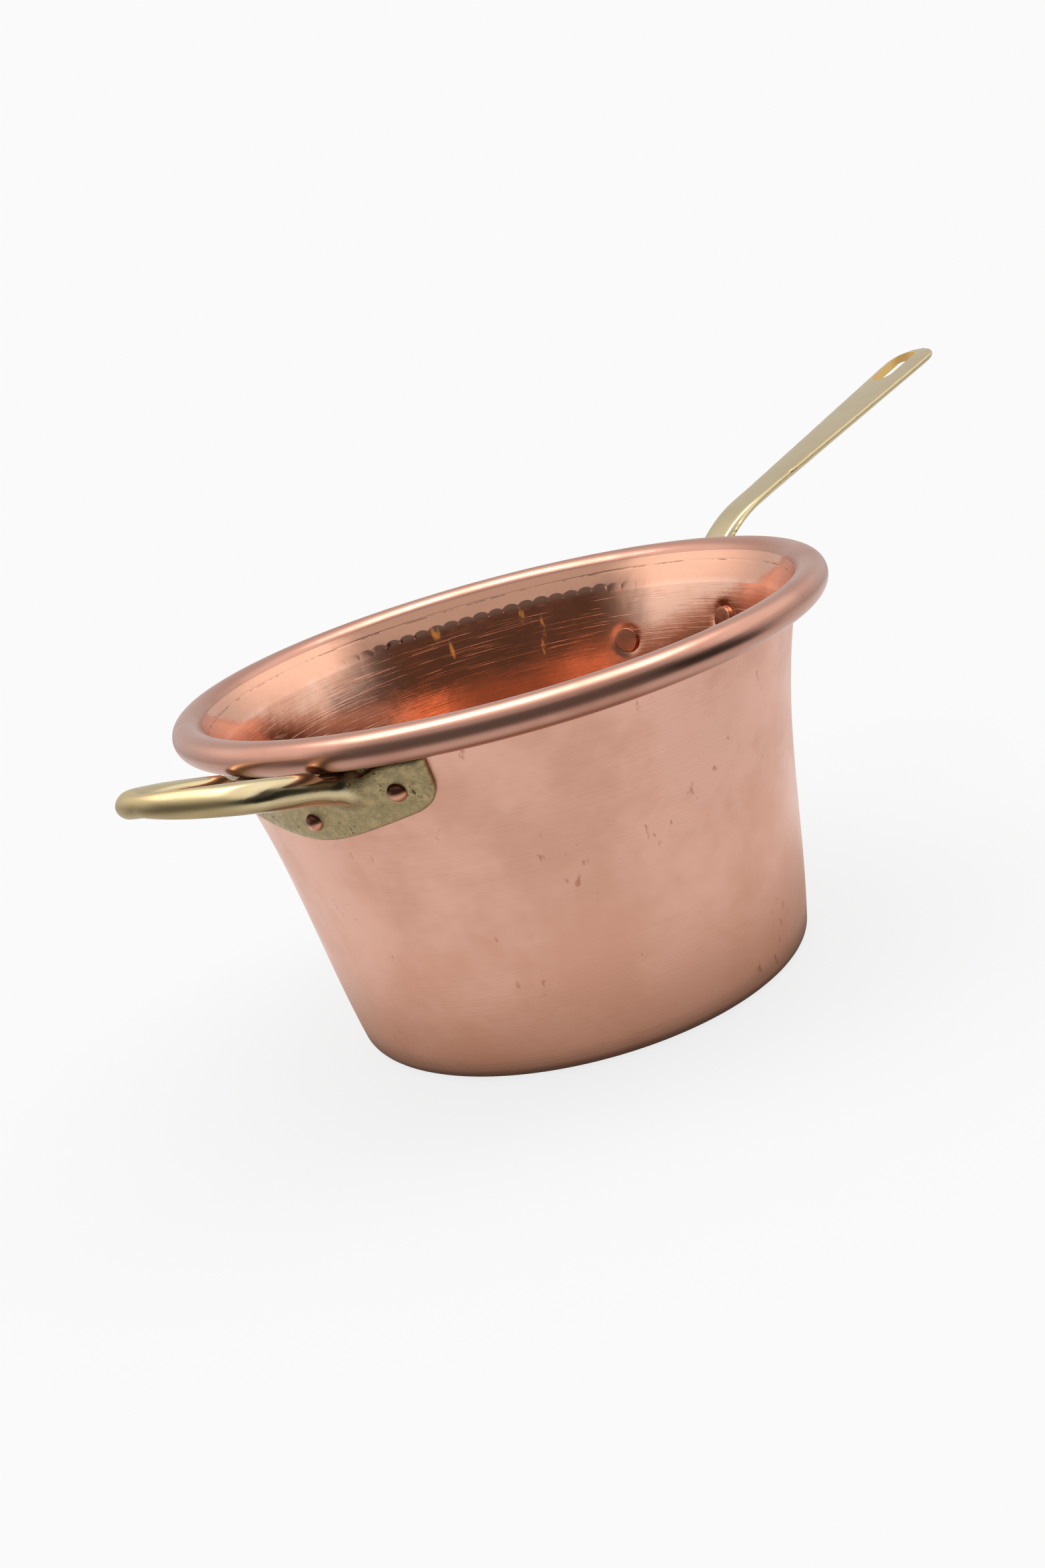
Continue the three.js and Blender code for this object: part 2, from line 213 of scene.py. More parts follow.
def fan(middle, start, count):  # faces between a point and a ring
    return [(middle, start + (i + 1) % count, start + i) for i in range(count)]


def loft(rings):  # a closed skin over rings of points, with flat ends
    count = len(rings[0])
    last = (len(rings) - 1) * count
    faces = []
    for start in range(0, last, count):
        faces += ringFaces(start, start + count, count)
    faces.append(tuple(range(count - 1, -1, -1)))
    faces.append(tuple(range(last, last + count)))
    return np.concatenate(rings), faces


smoothingPace = 0.5  # share of the way to its neighbours' middle that a point moves in one turn


def smoothed(points, edges, turns, weight):  # moves points towards their neighbours
    links = np.bincount(edges.ravel(), minlength=len(points))[:, None]
    for _ in range(turns):
        total = np.zeros_like(points)
        np.add.at(total, edges[:, 0], points[edges[:, 1]])
        np.add.at(total, edges[:, 1], points[edges[:, 0]])
        points = points + weight[:, None] * (total / links - points) * smoothingPace
    return points


def meshArrays(piece):
    mesh = piece.data
    points = np.empty(len(mesh.vertices) * 3)
    mesh.vertices.foreach_get("co", points)
    edges = np.empty(len(mesh.edges) * 2, int)
    mesh.edges.foreach_get("vertices", edges)
    return points.reshape(-1, 3) / mm, edges.reshape(-1, 2)


def placePoints(piece, points):
    piece.data.vertices.foreach_set("co", (points * mm).ravel())
    piece.data.update()


def addAttribute(piece, name, values):
    attribute = piece.data.attributes.new(name, "FLOAT", "POINT")
    attribute.data.foreach_set("value", np.asarray(values, np.float32))


def smoothstep(value, low, high):
    share = np.clip((value - low) / (high - low), 0, 1)
    return share * share * (3 - 2 * share)


# Geometry trees

def socketKind(value):
    if isinstance(value, bpy.types.Object):
        return "NodeSocketObject"
    return "NodeSocketInt" if isinstance(value, int) else "NodeSocketFloat"


def modifierTree(name, inputs):  # a tree with named inputs, the wires from them and the keys that set them
    group = bpy.data.node_groups.new(name, "GeometryNodeTree")
    face = group.interface
    face.new_socket("Geometry", in_out="INPUT", socket_type="NodeSocketGeometry")
    keys = [face.new_socket(label, in_out="INPUT", socket_type=socketKind(value)).identifier
            for label, value in inputs.items()]
    face.new_socket("Geometry", in_out="OUTPUT", socket_type="NodeSocketGeometry")
    tree = Tree(group)
    wires = tree.wires(tree.node("NodeGroupInput"))[:1 + len(inputs)]
    return tree, wires, keys


def named(tree, kind, name):  # an attribute of the mesh
    return tree.node("GeometryNodeInputNamedAttribute", {"data_type": kind}, {"Name": name})


def applyTree(piece, tree, geometry, keys, inputs):
    tree.node("NodeGroupOutput", None, {0: geometry})
    modifier = piece.modifiers.new(tree.nodeTree.name, "NODES")
    modifier.node_group = tree.nodeTree
    for key, value in zip(keys, inputs.values()):
        modifier[key] = value
    settled(piece)


# Pot: one copper sheet with a flat base, a flaring wall and an edge curled round a wire
pot = {
    "height": 147, "rimDiameter": 260, "baseDiameter": 186.4, "sheet": 2,
    "cornerRadius": 6, "baseTaper": 10.5, "rimFlare": 22, "curlRadius": 4.3, "curlSlit": 1.2,
    "lipDrop": 4.6, "creaseDrop": 7.6, "creaseDepth": 0.05, "creaseWidth": 0.3,
    "ridgeDrop": 16.4, "ridgeEnd": 46, "ridgeProud": 0.75,
    "dishRadius": 8.6, "dishDepth": 1.3, "sharpAngle": 55,
    "segments": 384, "fineShare": 4, "baseRings": (30, 60, 80),
    "cornerSteps": 9, "wallSteps": 22, "curlSteps": 16, "rollSteps": 48, "innerCornerSteps": 7,
    "lipRows": (5.4, 6.2, 6.8, 7.1, 7.35, 7.6, 7.85, 8.1, 8.5, 9.2, 10.2, 11.2),  # drops, close at the crease
    "markRows": (11.7, 18.2, 0.33), "wallRows": (19, 60, 1.35), "lowDrop": 66, "lowSteps": 9,
}
hammering = {
    "marks": 101, "phase": 0.41, "depth": 0.55, "depthShares": (0.92, 1.06),
    "topDrop": 12.4, "topWander": 0.3, "arch": 2.3, "footDrop": 16.6, "ledge": 29,
    "middle": 46, "fadeStart": 24, "fadeEnd": 35, "faintShare": 0.08, "seed": 4,
}

outsideZone, rimZone, insideZone = range(3)  # parts of the sheet that have a finish of their own

rollRadius = pot["curlRadius"] + pot["sheet"]
rollCentre = np.array([pot["rimDiameter"] / 2 - rollRadius, pot["height"] - rollRadius])
taper = math.radians(pot["baseTaper"])
flare = math.radians(pot["rimFlare"])
wallFoot = np.array([pot["baseDiameter"] / 2, pot["cornerRadius"] * (1 - math.sin(taper))])
wallHead = rollCentre + pot["curlRadius"] * np.array([-math.cos(flare), math.sin(flare)])
wallRise = wallHead[1] - wallFoot[1]
wallPulls = (wallFoot[0], wallFoot[0] + math.tan(taper) * wallRise / 3,
             wallHead[0] - math.tan(flare) * wallRise / 3, wallHead[0])


def bezier(pulls, t):  # place on a cubic curve, and how it changes with t
    a, b, c, d = pulls
    u = 1 - t
    place = u**3 * a + 3 * u * u * t * b + 3 * u * t * t * c + t**3 * d
    return place, 3 * u * u * (b - a) + 6 * u * t * (c - b) + 3 * t * t * (d - c)


def wallAt(z):  # radius and slope of the wall's outer face
    radius, change = bezier(wallPulls, (np.asarray(z, float) - wallFoot[1]) / wallRise)
    return radius, change / wallRise


def skin(z, distance):  # radius of a skin lying a distance outside the wall
    radius, slope = wallAt(z)
    return radius + distance * np.sqrt(1 + slope**2)


def arc(centre, radius, start, end, steps):
    turn = np.linspace(start, end, steps)
    return np.stack([centre[0] + radius * np.cos(turn), centre[1] + radius * np.sin(turn)], 1)


def potProfile():  # rows of (radius, height, fine, zone)
    cornerCentre = np.array([wallFoot[0] - pot["cornerRadius"] * math.cos(taper), pot["cornerRadius"]])
    curlStart = math.pi - flare
    curlEnd = -math.pi - flare + math.acos((pot["curlRadius"] - pot["curlSlit"]) / rollRadius)
    rows = []

    def add(points, zone, fine=False):
        rows.extend((r, z, fine, zone) for r, z in points)

    add([(r, 0) for r in pot["baseRings"]], outsideZone)
    add(arc(cornerCentre, pot["cornerRadius"], -math.pi / 2, -taper, pot["cornerSteps"]), outsideZone)
    heights = np.linspace(wallFoot[1], wallHead[1], pot["wallSteps"])[1:]
    add(np.stack([wallAt(heights)[0], heights], 1), outsideZone)
    add(arc(rollCentre, pot["curlRadius"], curlStart, curlEnd, pot["curlSteps"])[1:], rimZone)
    add(arc(rollCentre, rollRadius, curlEnd, curlStart, pot["rollSteps"]), rimZone)
    ridgeDrops = (pot["lipDrop"], pot["ridgeDrop"], pot["ridgeEnd"])

    def inner(drops, fine=False):
        heights = pot["height"] - drops
        crease = np.exp(-((drops - pot["creaseDrop"]) / pot["creaseWidth"]) ** 2)
        ridge = np.interp(drops, ridgeDrops, (0, pot["ridgeProud"], 0))
        radii = skin(heights, -pot["sheet"]) + pot["creaseDepth"] * crease - ridge
        add(np.stack([radii, heights], 1), insideZone, fine)

    inner(np.array((pot["lipDrop"],) + pot["lipRows"]))
    inner(np.arange(*pot["markRows"]), True)
    inner(np.arange(*pot["wallRows"]))
    inner(np.linspace(pot["lowDrop"], pot["height"] - wallFoot[1], pot["lowSteps"]))
    innerCorner = pot["cornerRadius"] - pot["sheet"]
    add(arc(cornerCentre, innerCorner, -taper, -math.pi / 2, pot["innerCornerSteps"])[1:], insideZone)
    add([(r, pot["sheet"]) for r in reversed(pot["baseRings"])], insideZone)
    return rows


def ringBand(first, second, firstCount, secondCount):  # faces between two rings, one of which may be finer
    if firstCount == secondCount:
        return ringFaces(first, second, firstCount)
    faces = []
    share = pot["fineShare"]
    half = share // 2
    swap = firstCount > secondCount
    coarse, fine, count = (second, first, secondCount) if swap else (first, second, firstCount)
    for i in range(count):
        a, b = coarse + i, coarse + (i + 1) % count
        spots = [fine + (share * i + k) % (share * count) for k in range(share + 1)]
        patch = [(a, spots[k + 1], spots[k]) for k in range(half)]
        patch.append((a, b, spots[half]))
        patch += [(b, spots[k + 1], spots[k]) for k in range(half, share)]
        faces += [face[::-1] for face in patch] if swap else patch
    return faces


def potMesh():
    rows = potProfile()
    points, zones = [np.zeros((1, 3))], [np.full(1, outsideZone)]
    starts, counts, total = [], [], 1
    for r, z, fine, zone in rows:
        count = pot["segments"] * (pot["fineShare"] if fine else 1)
        points.append(ring(r, z, count))
        zones.append(np.full(count, zone))
        starts.append(total)
        counts.append(count)
        total += count
    points.append(np.array([[0, 0, pot["sheet"]]]))
    zones.append(np.full(1, insideZone))
    faces = fan(0, starts[0], pot["segments"])
    zoneOfFace = [outsideZone] * len(faces)
    for k, (_, _, _, zone) in enumerate(rows[1:]):
        band = ringBand(starts[k], starts[k + 1], counts[k], counts[k + 1])
        faces += band
        zoneOfFace += [zone] * len(band)
    closing = fan(total, starts[-1], pot["segments"])
    faces += [face[::-1] for face in closing]
    zoneOfFace += [insideZone] * len(closing)
    return np.concatenate(points), faces, np.concatenate(zones), zoneOfFace


# Rivets: where each one goes through the wall
rivets = {
    "tailDiameter": 10.4, "tailHeight": 1.25, "tailEdge": 0.35, "tailSink": 0.5, "shankDiameter": 5,
    "tailCrown": ((0.4, 0.05), (0.75, 0.03)),  # share of the tail's radius, and how far the face swells there
    "headDiameter": 7.2, "headHeight": 2.6, "headSink": 0.4,
    "sides": 40, "edgeSteps": 6, "domeSteps": 12, "sharpAngle": 50,
    "sizeShares": (0.97, 1.03), "seed": 3, "upperShadeRise": (-0.6, 1.6),
}
seatGap = 0.3
plateThickness = 3
helperAzimuth = 183.4
longTopDrop = 20
helperTopDrop = 18
rivetPlaces = [  # handle's azimuth, plate's top drop, arc along the plate's top, drop below the rim
    (0, longTopDrop, 29.5, 38), (0, longTopDrop, -29.5, 32), (0, longTopDrop, 0, 50.5),
    (helperAzimuth, helperTopDrop, 40.5, 24), (helperAzimuth, helperTopDrop, -40.5, 24),
    (helperAzimuth, helperTopDrop, 0, 33.1),
]


def rivetSpots():  # point on the wall's outer face and the way outwards
    spots = []
    for handle, topDrop, along, drop in rivetPlaces:
        turn = math.radians(handle) + along / wallAt(pot["height"] - topDrop)[0]
        z = pot["height"] - drop
        radius, slope = wallAt(z)
        out = np.array([math.cos(turn), math.sin(turn), -slope]) / math.sqrt(1 + slope**2)
        spots.append((np.array([radius * math.cos(turn), radius * math.sin(turn), z]), out))
    return spots


def buildPot(finishes):
    points, faces, zones, zoneOfFace = potMesh()
    inside = zones == insideZone
    for spot, out in rivetSpots():  # the sheet is dished round each rivet's tail
        away = np.linalg.norm(points - (spot - out * pot["sheet"]), axis=1)
        dish = np.clip(1 - (away / pot["dishRadius"]) ** 2, 0, 1) ** 2
        points = points + (inside * dish * pot["dishDepth"])[:, None] * out
    body = newObject("copper_pot", points, faces)
    body.data.set_sharp_from_angle(angle=math.radians(pot["sharpAngle"]))
    addAttribute(body, "insideFace", inside)
    zoneAttribute = body.data.attributes.new("zone", "INT", "FACE")
    zoneAttribute.data.foreach_set("value", zoneOfFace)
    hammer(body, finishes)
    return body


def hammer(body, finishes):  # a ring of hammer marks round the inside, below the lip
    sizes = {"Marks": hammering["marks"], "Phase": hammering["phase"], "Depth": hammering["depth"] * mm,
             "Top": (pot["height"] - hammering["topDrop"]) * mm, "Arch": hammering["arch"] * mm,
             "Foot": (pot["height"] - hammering["footDrop"]) * mm, "Ledge": hammering["ledge"] * mm,
             "Seed": hammering["seed"]}
    tree, wires, keys = modifierTree("hammerMarks", sizes)
    geometry, marks, phase, depth, top, arch, foot, ledge, seed = wires
    x, y, z = tree.xyz(tree.node("GeometryNodeInputPosition"))
    radius = tree.length(x, y)
    count = (tree.math("ARCTAN2", y, x) / (2 * math.pi) + 0.5) * marks + phase
    mark = tree.math("FLOOR", count)

    def chance(low, high, shift):  # one number for each mark
        return tree.node("FunctionNodeRandomValue", {"data_type": "FLOAT"},
                         {2: low, 3: high, 7: mark, 8: seed + shift}, 1)

    def clipped(value):
        return tree.math("MINIMUM", tree.math("MAXIMUM", value, 0.0), 1.0)

    across = (count - mark - 0.5) * 2
    wander = hammering["topWander"] * mm
    edge = top + chance(-wander, wander, 1) - arch * (1 - tree.math("SQRT", 1 - across * across))
    hollow = tree.math("SINE", clipped((edge - z) / (edge - foot)) * (math.pi / 2))
    closing = clipped((z - foot) / ledge + 1)
    cos, sin = heading(hammering["middle"])
    towards = (x * cos + y * sin) / radius
    clear = tree.ramp(towards, *[heading(hammering[end])[0] for end in ("fadeEnd", "fadeStart")])
    struck = hollow * closing * depth * chance(*hammering["depthShares"], 2)
    inside = named(tree, "FLOAT", "insideFace")
    push = struck * lerp(hammering["faintShare"], 1, clear) * inside / radius
    offset = tree.node("ShaderNodeCombineXYZ", None, {0: x * push, 1: y * push})
    geometry = tree.node("GeometryNodeSetPosition", None, {"Geometry": geometry, "Offset": offset})
    geometry = tree.node("GeometryNodeRealizeInstances", None, {"Geometry": geometry})
    zone = named(tree, "INT", "zone")
    for number, finish in enumerate(finishes):
        chosen = tree.node("FunctionNodeCompare", {"data_type": "INT", "operation": "EQUAL"},
                           {2: zone, 3: number})
        geometry = tree.node("GeometryNodeSetMaterial", None, {
            "Geometry": geometry, "Selection": chosen, "Material": finish})
    applyTree(body, tree, geometry, keys, sizes)


# Plates: a band round the wall whose lower edge runs down to a rounded apex
plate = {
    "bevel": 1.2, "apexRounding": 0.3, "steps": 150, "rows": 16, "bevelSteps": 6,
    "earStart": 25, "earEnd": 43, "rollGap": 2, "creviceReach": 2.5, "creviceEdge": (-3, 2),
    "rootEdge": (-1.0, 0.6), "polishRise": (0.7, 5), "gripRise": (34, 50),
}


def lowerDrop(shape, along):
    lobe = min(1, abs(along) / (shape["lobeWidth"] / 2))
    rounding = plate["apexRounding"]
    swell = (math.hypot(1, rounding) - math.hypot(lobe, rounding)) / (math.hypot(1, rounding) - rounding)
    corner = shape["corner"]
    into = max(0, abs(along) - (shape["plateWidth"] / 2 - corner))
    lift = corner - math.sqrt(max(0, corner**2 - into**2))
    return lerp(shape["shoulderDrop"], shape["apexDrop"], swell) - lift


def plateRings(shape):
    topRadius = wallAt(pot["height"] - shape["topDrop"])[0]
    half = shape["plateWidth"] / 2
    bevel = plate["bevel"]
    rings = []
    for i in range(plate["steps"] + 1):
        along = -half * math.cos(math.pi * i / plate["steps"])
        toEnd = min(1, (half - abs(along)) / bevel)
        thickness = plateThickness - bevel * (1 - math.sqrt(1 - (1 - toEnd) ** 2))
        ear = smoothstep(abs(along), plate["earStart"], plate["earEnd"])
        top = pot["height"] - shape["topDrop"] + shape["earRise"] * ear
        bottom = pot["height"] - lowerDrop(shape, along)
        turn = along / topRadius
        bend = np.linspace(0, math.pi / 2, plate["bevelSteps"])
        edge, rise = bevel * np.sin(bend), bevel * (1 - np.cos(bend))
        front = np.linspace(top - bevel, bottom + bevel, plate["rows"])
        heights = np.concatenate([top - rise, front, bottom + rise[::-1]])
        depths = np.concatenate([thickness - bevel + edge, np.full(len(front), thickness),
                                 thickness - bevel + edge[::-1]]) + seatGap
        back = np.linspace(bottom, top, plate["rows"])
        heights = np.concatenate([heights, back])
        depths = np.concatenate([depths, np.full(len(back), seatGap)])
        radii = skin(heights, depths)
        rings.append(np.stack([radii * math.cos(turn), radii * math.sin(turn), heights], 1))
    return rings


def roundedSection(halfWidth, upper, lower, count):  # each half is a height and a squareness
    turn = 2 * math.pi * np.arange(count) / count
    cos, sin = np.cos(turn), np.sin(turn)
    height = np.where(sin < 0, lower[0], upper[0])
    squareness = np.where(sin < 0, lower[1], upper[1])
    stretch = (np.abs(cos) ** squareness + np.abs(sin) ** squareness) ** (-1 / squareness)
    return halfWidth * stretch * cos, height * stretch * sin


crossways = np.array([0, 1, 0])  # level and square to a handle, which is built along X


def ringAt(centre, side, rise, sideways, upward):
    return np.asarray(centre) + np.outer(sideways, side) + np.outer(upward, rise)


cutSliver = 0.004  # a face along a cut that is thinner than this is dissolved


def cutOut(piece, cutter):
    cut = piece.modifiers.new("cut", "BOOLEAN")
    cut.operation = "DIFFERENCE"
    cut.solver = "EXACT"
    cut.object = cutter
    settled(piece)
    discard(cutter)
    shape = bmesh.new()
    shape.from_mesh(piece.data)
    manySided = [face for face in shape.faces if len(face.verts) > 4]
    bmesh.ops.triangulate(shape, faces=manySided, ngon_method="BEAUTY")
    bmesh.ops.dissolve_degenerate(shape, dist=cutSliver * mm, edges=shape.edges)
    shape.to_mesh(piece.data)
    shape.free()


def fromAxis(points):
    return np.hypot(points[:, 0], points[:, 1])


def abovePlate(points):  # level distance out of the plate's face
    return fromAxis(points) - skin(points[:, 2], seatGap + plateThickness)


def cast(name, shells, voxel, soften, fitTo=None, cutter=None):  # shells run together as one casting
    points, faces, start = [], [], 0
    for shellPoints, shellFaces in shells:
        points.append(shellPoints)
        faces += [tuple(start + k for k in face) for face in shellFaces]
        start += len(shellPoints)
    casting = newObject(name, np.concatenate(points), faces)
    remesh = casting.modifiers.new("casting", "REMESH")
    remesh.mode = "VOXEL"
    remesh.voxel_size = voxel * mm
    remesh.use_smooth_shade = True
    settled(casting)
    points, edges = meshArrays(casting)
    points = smoothed(points, edges, soften["allTurns"], np.ones(len(points)))
    above = abovePlate(points)
    reach = soften["rootReach"]
    root = smoothstep(above, *plate["rootEdge"]) * (1 - smoothstep(above, reach / 2, reach))
    points = smoothed(points, edges, soften["rootTurns"], root)
    if fitTo:  # away from its root the casting lies on the true shape
        fit = smoothstep(above, reach, 2 * reach)
        nearest = np.array([fitTo.find_nearest(p)[0] if share else p for p, share in zip(points, fit)])
        points = smoothed(lerp(points, nearest, fit[:, None]), edges, soften["fitTurns"], fit)
    points = clearOfPot(points)
    points = clearOfPot(smoothed(points, edges, soften["creviceTurns"], nearRoll(points)))
    placePoints(casting, points)
    if cutter:
        cutOut(casting, cutter)
        casting.data.set_sharp_from_angle(angle=math.radians(soften["sharpAngle"]))
        points, _ = meshArrays(casting)
    above = abovePlate(points)
    addAttribute(casting, "polish", smoothstep(above, *plate["polishRise"]))
    addAttribute(casting, "grip", smoothstep(above, *plate["gripRise"]) * soften["gripShare"])
    # the crevice mask also carries the painted shade under the rolled rim
    addAttribute(casting, "crevice", nearRoll(points))
    return casting


def nearRoll(points):  # 1 in the crevice under the rolled rim, 0 away from it
    offset = np.stack([fromAxis(points), points[:, 2]], 1) - rollCentre
    beyondGap = np.linalg.norm(offset, axis=1) - rollRadius - plate["rollGap"]
    under = 1 - smoothstep(offset[:, 0], *plate["creviceEdge"])
    return under * (1 - smoothstep(beyondGap, 0, plate["creviceReach"]))


def clearOfPot(points):  # nothing reaches into the wall or the rolled rim
    radius = fromAxis(points)
    z = points[:, 2]
    wanted = np.maximum(radius, np.where(z < wallHead[1], skin(z, seatGap), 0))
    offset = np.stack([wanted, z], 1) - rollCentre
    away = np.linalg.norm(offset, axis=1)
    push = np.maximum(1, (rollRadius + plate["rollGap"]) / away)
    moved = rollCentre + offset * push[:, None]
    share = moved[:, 0] / radius
    return np.stack([points[:, 0] * share, points[:, 1] * share, moved[:, 1]], 1)


# Helper handle: a cast bow that rises outwards from its plate
helper = {
    "topDrop": helperTopDrop, "earRise": 4.6, "plateWidth": 107, "shoulderDrop": 33.5, "apexDrop": 42,
    "lobeWidth": 95, "corner": 9,
    "reach": 179, "rootDrop": 19.8, "slope": 16.2, "rootSpacing": 41, "width": 45,
    "straight": 35, "height": 11.4, "tipHeight": 7.4, "thickness": 8.8,
    "squareness": 2.5, "tipSquareness": 1.9, "rootFlare": 1.55, "flareShare": 0.2,
    "skirt": 0.7, "skirtShare": 0.14, "twist": 38, "twistStart": 0.3, "twistEnd": 0.62,
    "steps": 60, "sides": 44, "voxel": 0.45,
    "soften": {"allTurns": 4, "rootTurns": 130, "rootReach": 9, "creviceTurns": 10, "gripShare": 1},
}


def bowRings():
    cos, sin = heading(helper["slope"])
    out = np.array([cos, 0, sin])
    rise = np.array([-sin, 0, cos])
    rootHeight = pot["height"] - helper["rootDrop"]
    originRadius = wallAt(rootHeight)[0]
    origin = np.array([originRadius, 0, rootHeight])
    length = (helper["reach"] - originRadius) / out[0]
    rootSide = helper["rootSpacing"] / 2
    bowSide = rootSide + helper["width"] - helper["rootSpacing"]
    rootDepth = math.sqrt(originRadius**2 - rootSide**2) - pot["sheet"] - originRadius
    rings = []
    for way in (1, -1):
        pulls = [origin + out * reach + crossways * way * side for reach, side in (
            (rootDepth, rootSide), (helper["straight"], bowSide), (length, bowSide), (length, 0))]
        shares = np.arange(helper["steps"]) / helper["steps"]
        if way < 0:
            shares = np.append(1 - shares, 0)
        for share in shares:
            place, change = bezier(pulls, share)
            side = np.cross(rise, change / np.linalg.norm(change) * way)
            swell = 1 + (helper["rootFlare"] - 1) * max(0, 1 - share / helper["flareShare"]) ** 2
            height = lerp(helper["height"], helper["tipHeight"], share**3)
            square = lerp(helper["squareness"], helper["tipSquareness"], share**3)
            turned = smoothstep(share, helper["twistStart"], helper["twistEnd"])
            twist = math.radians(helper["twist"]) * turned
            face = side * math.cos(twist) + rise * math.sin(twist)
            edge = rise * math.cos(twist) - side * math.sin(twist)
            skirt = 1 + helper["skirt"] * max(0, 1 - share / helper["skirtShare"]) ** 2
            half = (height / 2 * swell, square)
            section = roundedSection(helper["thickness"] / 2 * swell * skirt, half, half, helper["sides"])
            rings.append(ringAt(place, face, edge, *section))
    return rings


def buildHelper(finish):
    shells = [loft(plateRings(helper)), loft(bowRings())]
    casting = cast("helper_casting", shells, helper["voxel"], helper["soften"])
    casting.data.transform(Matrix.Rotation(math.radians(helperAzimuth), 4, "Z"))
    casting.data.materials.append(finish)
    return casting


# Long handle: a flat-topped bar that climbs off its plate, bends and widens on its way to a hanging eye
bar = {
    "topDrop": longTopDrop, "earRise": 0, "plateWidth": 82, "shoulderDrop": 46.5, "apexDrop": 60,
    "lobeWidth": 68, "corner": 11,
    "reach": 341.5, "kneeRadius": 153.5, "kneeDrop": 0.1, "rootSlope": 40, "slope": 11.35,
    "bend": 21.5, "bendSteps": 40, "edgeHeight": 0.8, "bellyDepth": 3.7,
    "width": 15.8, "eyeWidth": 25, "taper": 135,
    "tip": 13, "tipShare": 0.985, "rootWidth": 36, "rootThickness": 9, "rootFlare": 36,
    "topSquareness": 6, "bellySquareness": 2.6, "crown": 0.3,
    "flute": 2.6, "fluteHollow": 0.45, "fluteStart": 45, "fluteEnd": 104, "fluteLeast": 0.01,
    "nickReach": 200.6, "nickDepth": 0.5, "nickLength": 1.6, "nickEdge": (0.7, 0.95),
    "slotLength": 34.6, "slotWidth": 11.4, "slotInset": 3.6, "slotOffset": 3.9, "slotDraft": 0.16,
    "slotReach": (-2.5, 2), "slotSteps": 24, "slotSkin": 0.02,  # the reach is in belly depths
    "steps": 260, "sides": 96, "voxel": 0.47,
    "soften": {"allTurns": 2, "rootTurns": 60, "rootReach": 9, "creviceTurns": 10, "fitTurns": 12,
               "gripShare": 0.3, "sharpAngle": 70},
}


def barPath():  # places along the bar's middle line, closer towards its tip, with the ways that it goes
    knee = np.array([bar["kneeRadius"], 0, pot["height"] - bar["kneeDrop"]])
    climb, run = [np.array([cos, 0, sin]) for cos, sin in map(heading, (bar["rootSlope"], bar["slope"]))]
    bendStart, bendEnd = knee - climb * bar["bend"], knee + run * bar["bend"]
    root = wallAt(pot["height"] - bar["shoulderDrop"])[0]
    start = knee + climb * (root - knee[0]) / climb[0]
    tip = knee + run * (bar["reach"] - knee[0]) / run[0]
    t = np.linspace(0, 1, bar["bendSteps"])[:, None]
    bend = (1 - t) ** 2 * bendStart + 2 * t * (1 - t) * knee + t**2 * bendEnd
    line = np.concatenate([start[None], bend, tip[None]])
    lengths = np.append(0, np.cumsum(np.linalg.norm(np.diff(line, axis=0), axis=1)))
    share = np.sin(np.linspace(0, math.pi / 2, bar["steps"]))
    along = share * lengths[-1]
    places = np.stack([np.interp(along, lengths, line[:, k]) for k in range(3)], 1)
    ways = np.gradient(places, along, axis=0)
    return places, ways / np.linalg.norm(ways, axis=1)[:, None], along


def eyeMiddleAlong(length):  # how far along the bar the eye's middle is
    return length - bar["slotInset"] - bar["slotLength"] / 2


def barRings():
    places, ways, along = barPath()
    length = along[-1]
    eyeMiddle = eyeMiddleAlong(length)
    rings = []
    for place, way, s in zip(places, ways, along):
        root = max(0, 1 - s / bar["rootFlare"]) ** 2
        swell = min(1, max(0, 1 + (s - eyeMiddle) / bar["taper"]))
        into = max(0, s - (length - bar["tip"])) / bar["tip"]
        tip = math.sqrt(1 - (bar["tipShare"] * into) ** 2)
        halfWidth = lerp(lerp(bar["width"], bar["eyeWidth"], swell), bar["rootWidth"], root) / 2 * tip
        top = lerp(bar["edgeHeight"], bar["rootThickness"] / 2, root)
        belly = lerp(bar["bellyDepth"], bar["rootThickness"] / 2, root)
        sideways, upward = roundedSection(
            halfWidth, (top, bar["topSquareness"]), (belly, bar["bellySquareness"]), bar["sides"])
        upward = upward + bar["crown"] * (upward > 0) * (1 - (sideways / halfWidth) ** 2) * (1 - into)
        flute = bar["flute"] * (1 - smoothstep(s, bar["fluteStart"], bar["fluteEnd"])) + bar["fluteLeast"]
        over = np.maximum(0, upward - sideways - (halfWidth + top - flute)) / 2
        spread = np.clip((-sideways - upward - (halfWidth - top)) / flute, -1, 1)
        over = over + (over > 0) * (1 - spread**2) * bar["fluteHollow"] * flute / bar["flute"]
        nick = bar["nickDepth"] * math.exp(-((place[0] - bar["nickReach"]) / bar["nickLength"]) ** 2)
        sideways = sideways + over + nick * smoothstep(-sideways / halfWidth, *bar["nickEdge"])
        rings.append(ringAt(place, crossways, np.cross(way, crossways), sideways, upward - over))
    return rings


def slotFrame():  # the eye's middle, the way along the bar, and half the distance between its round ends
    places, ways, along = barPath()
    eyeMiddle = eyeMiddleAlong(along[-1])
    middle = np.array([np.interp(eyeMiddle, along, places[:, k]) for k in range(3)])
    middle[1] = bar["slotOffset"]
    return middle, ways[-1], (bar["slotLength"] - bar["slotWidth"]) / 2


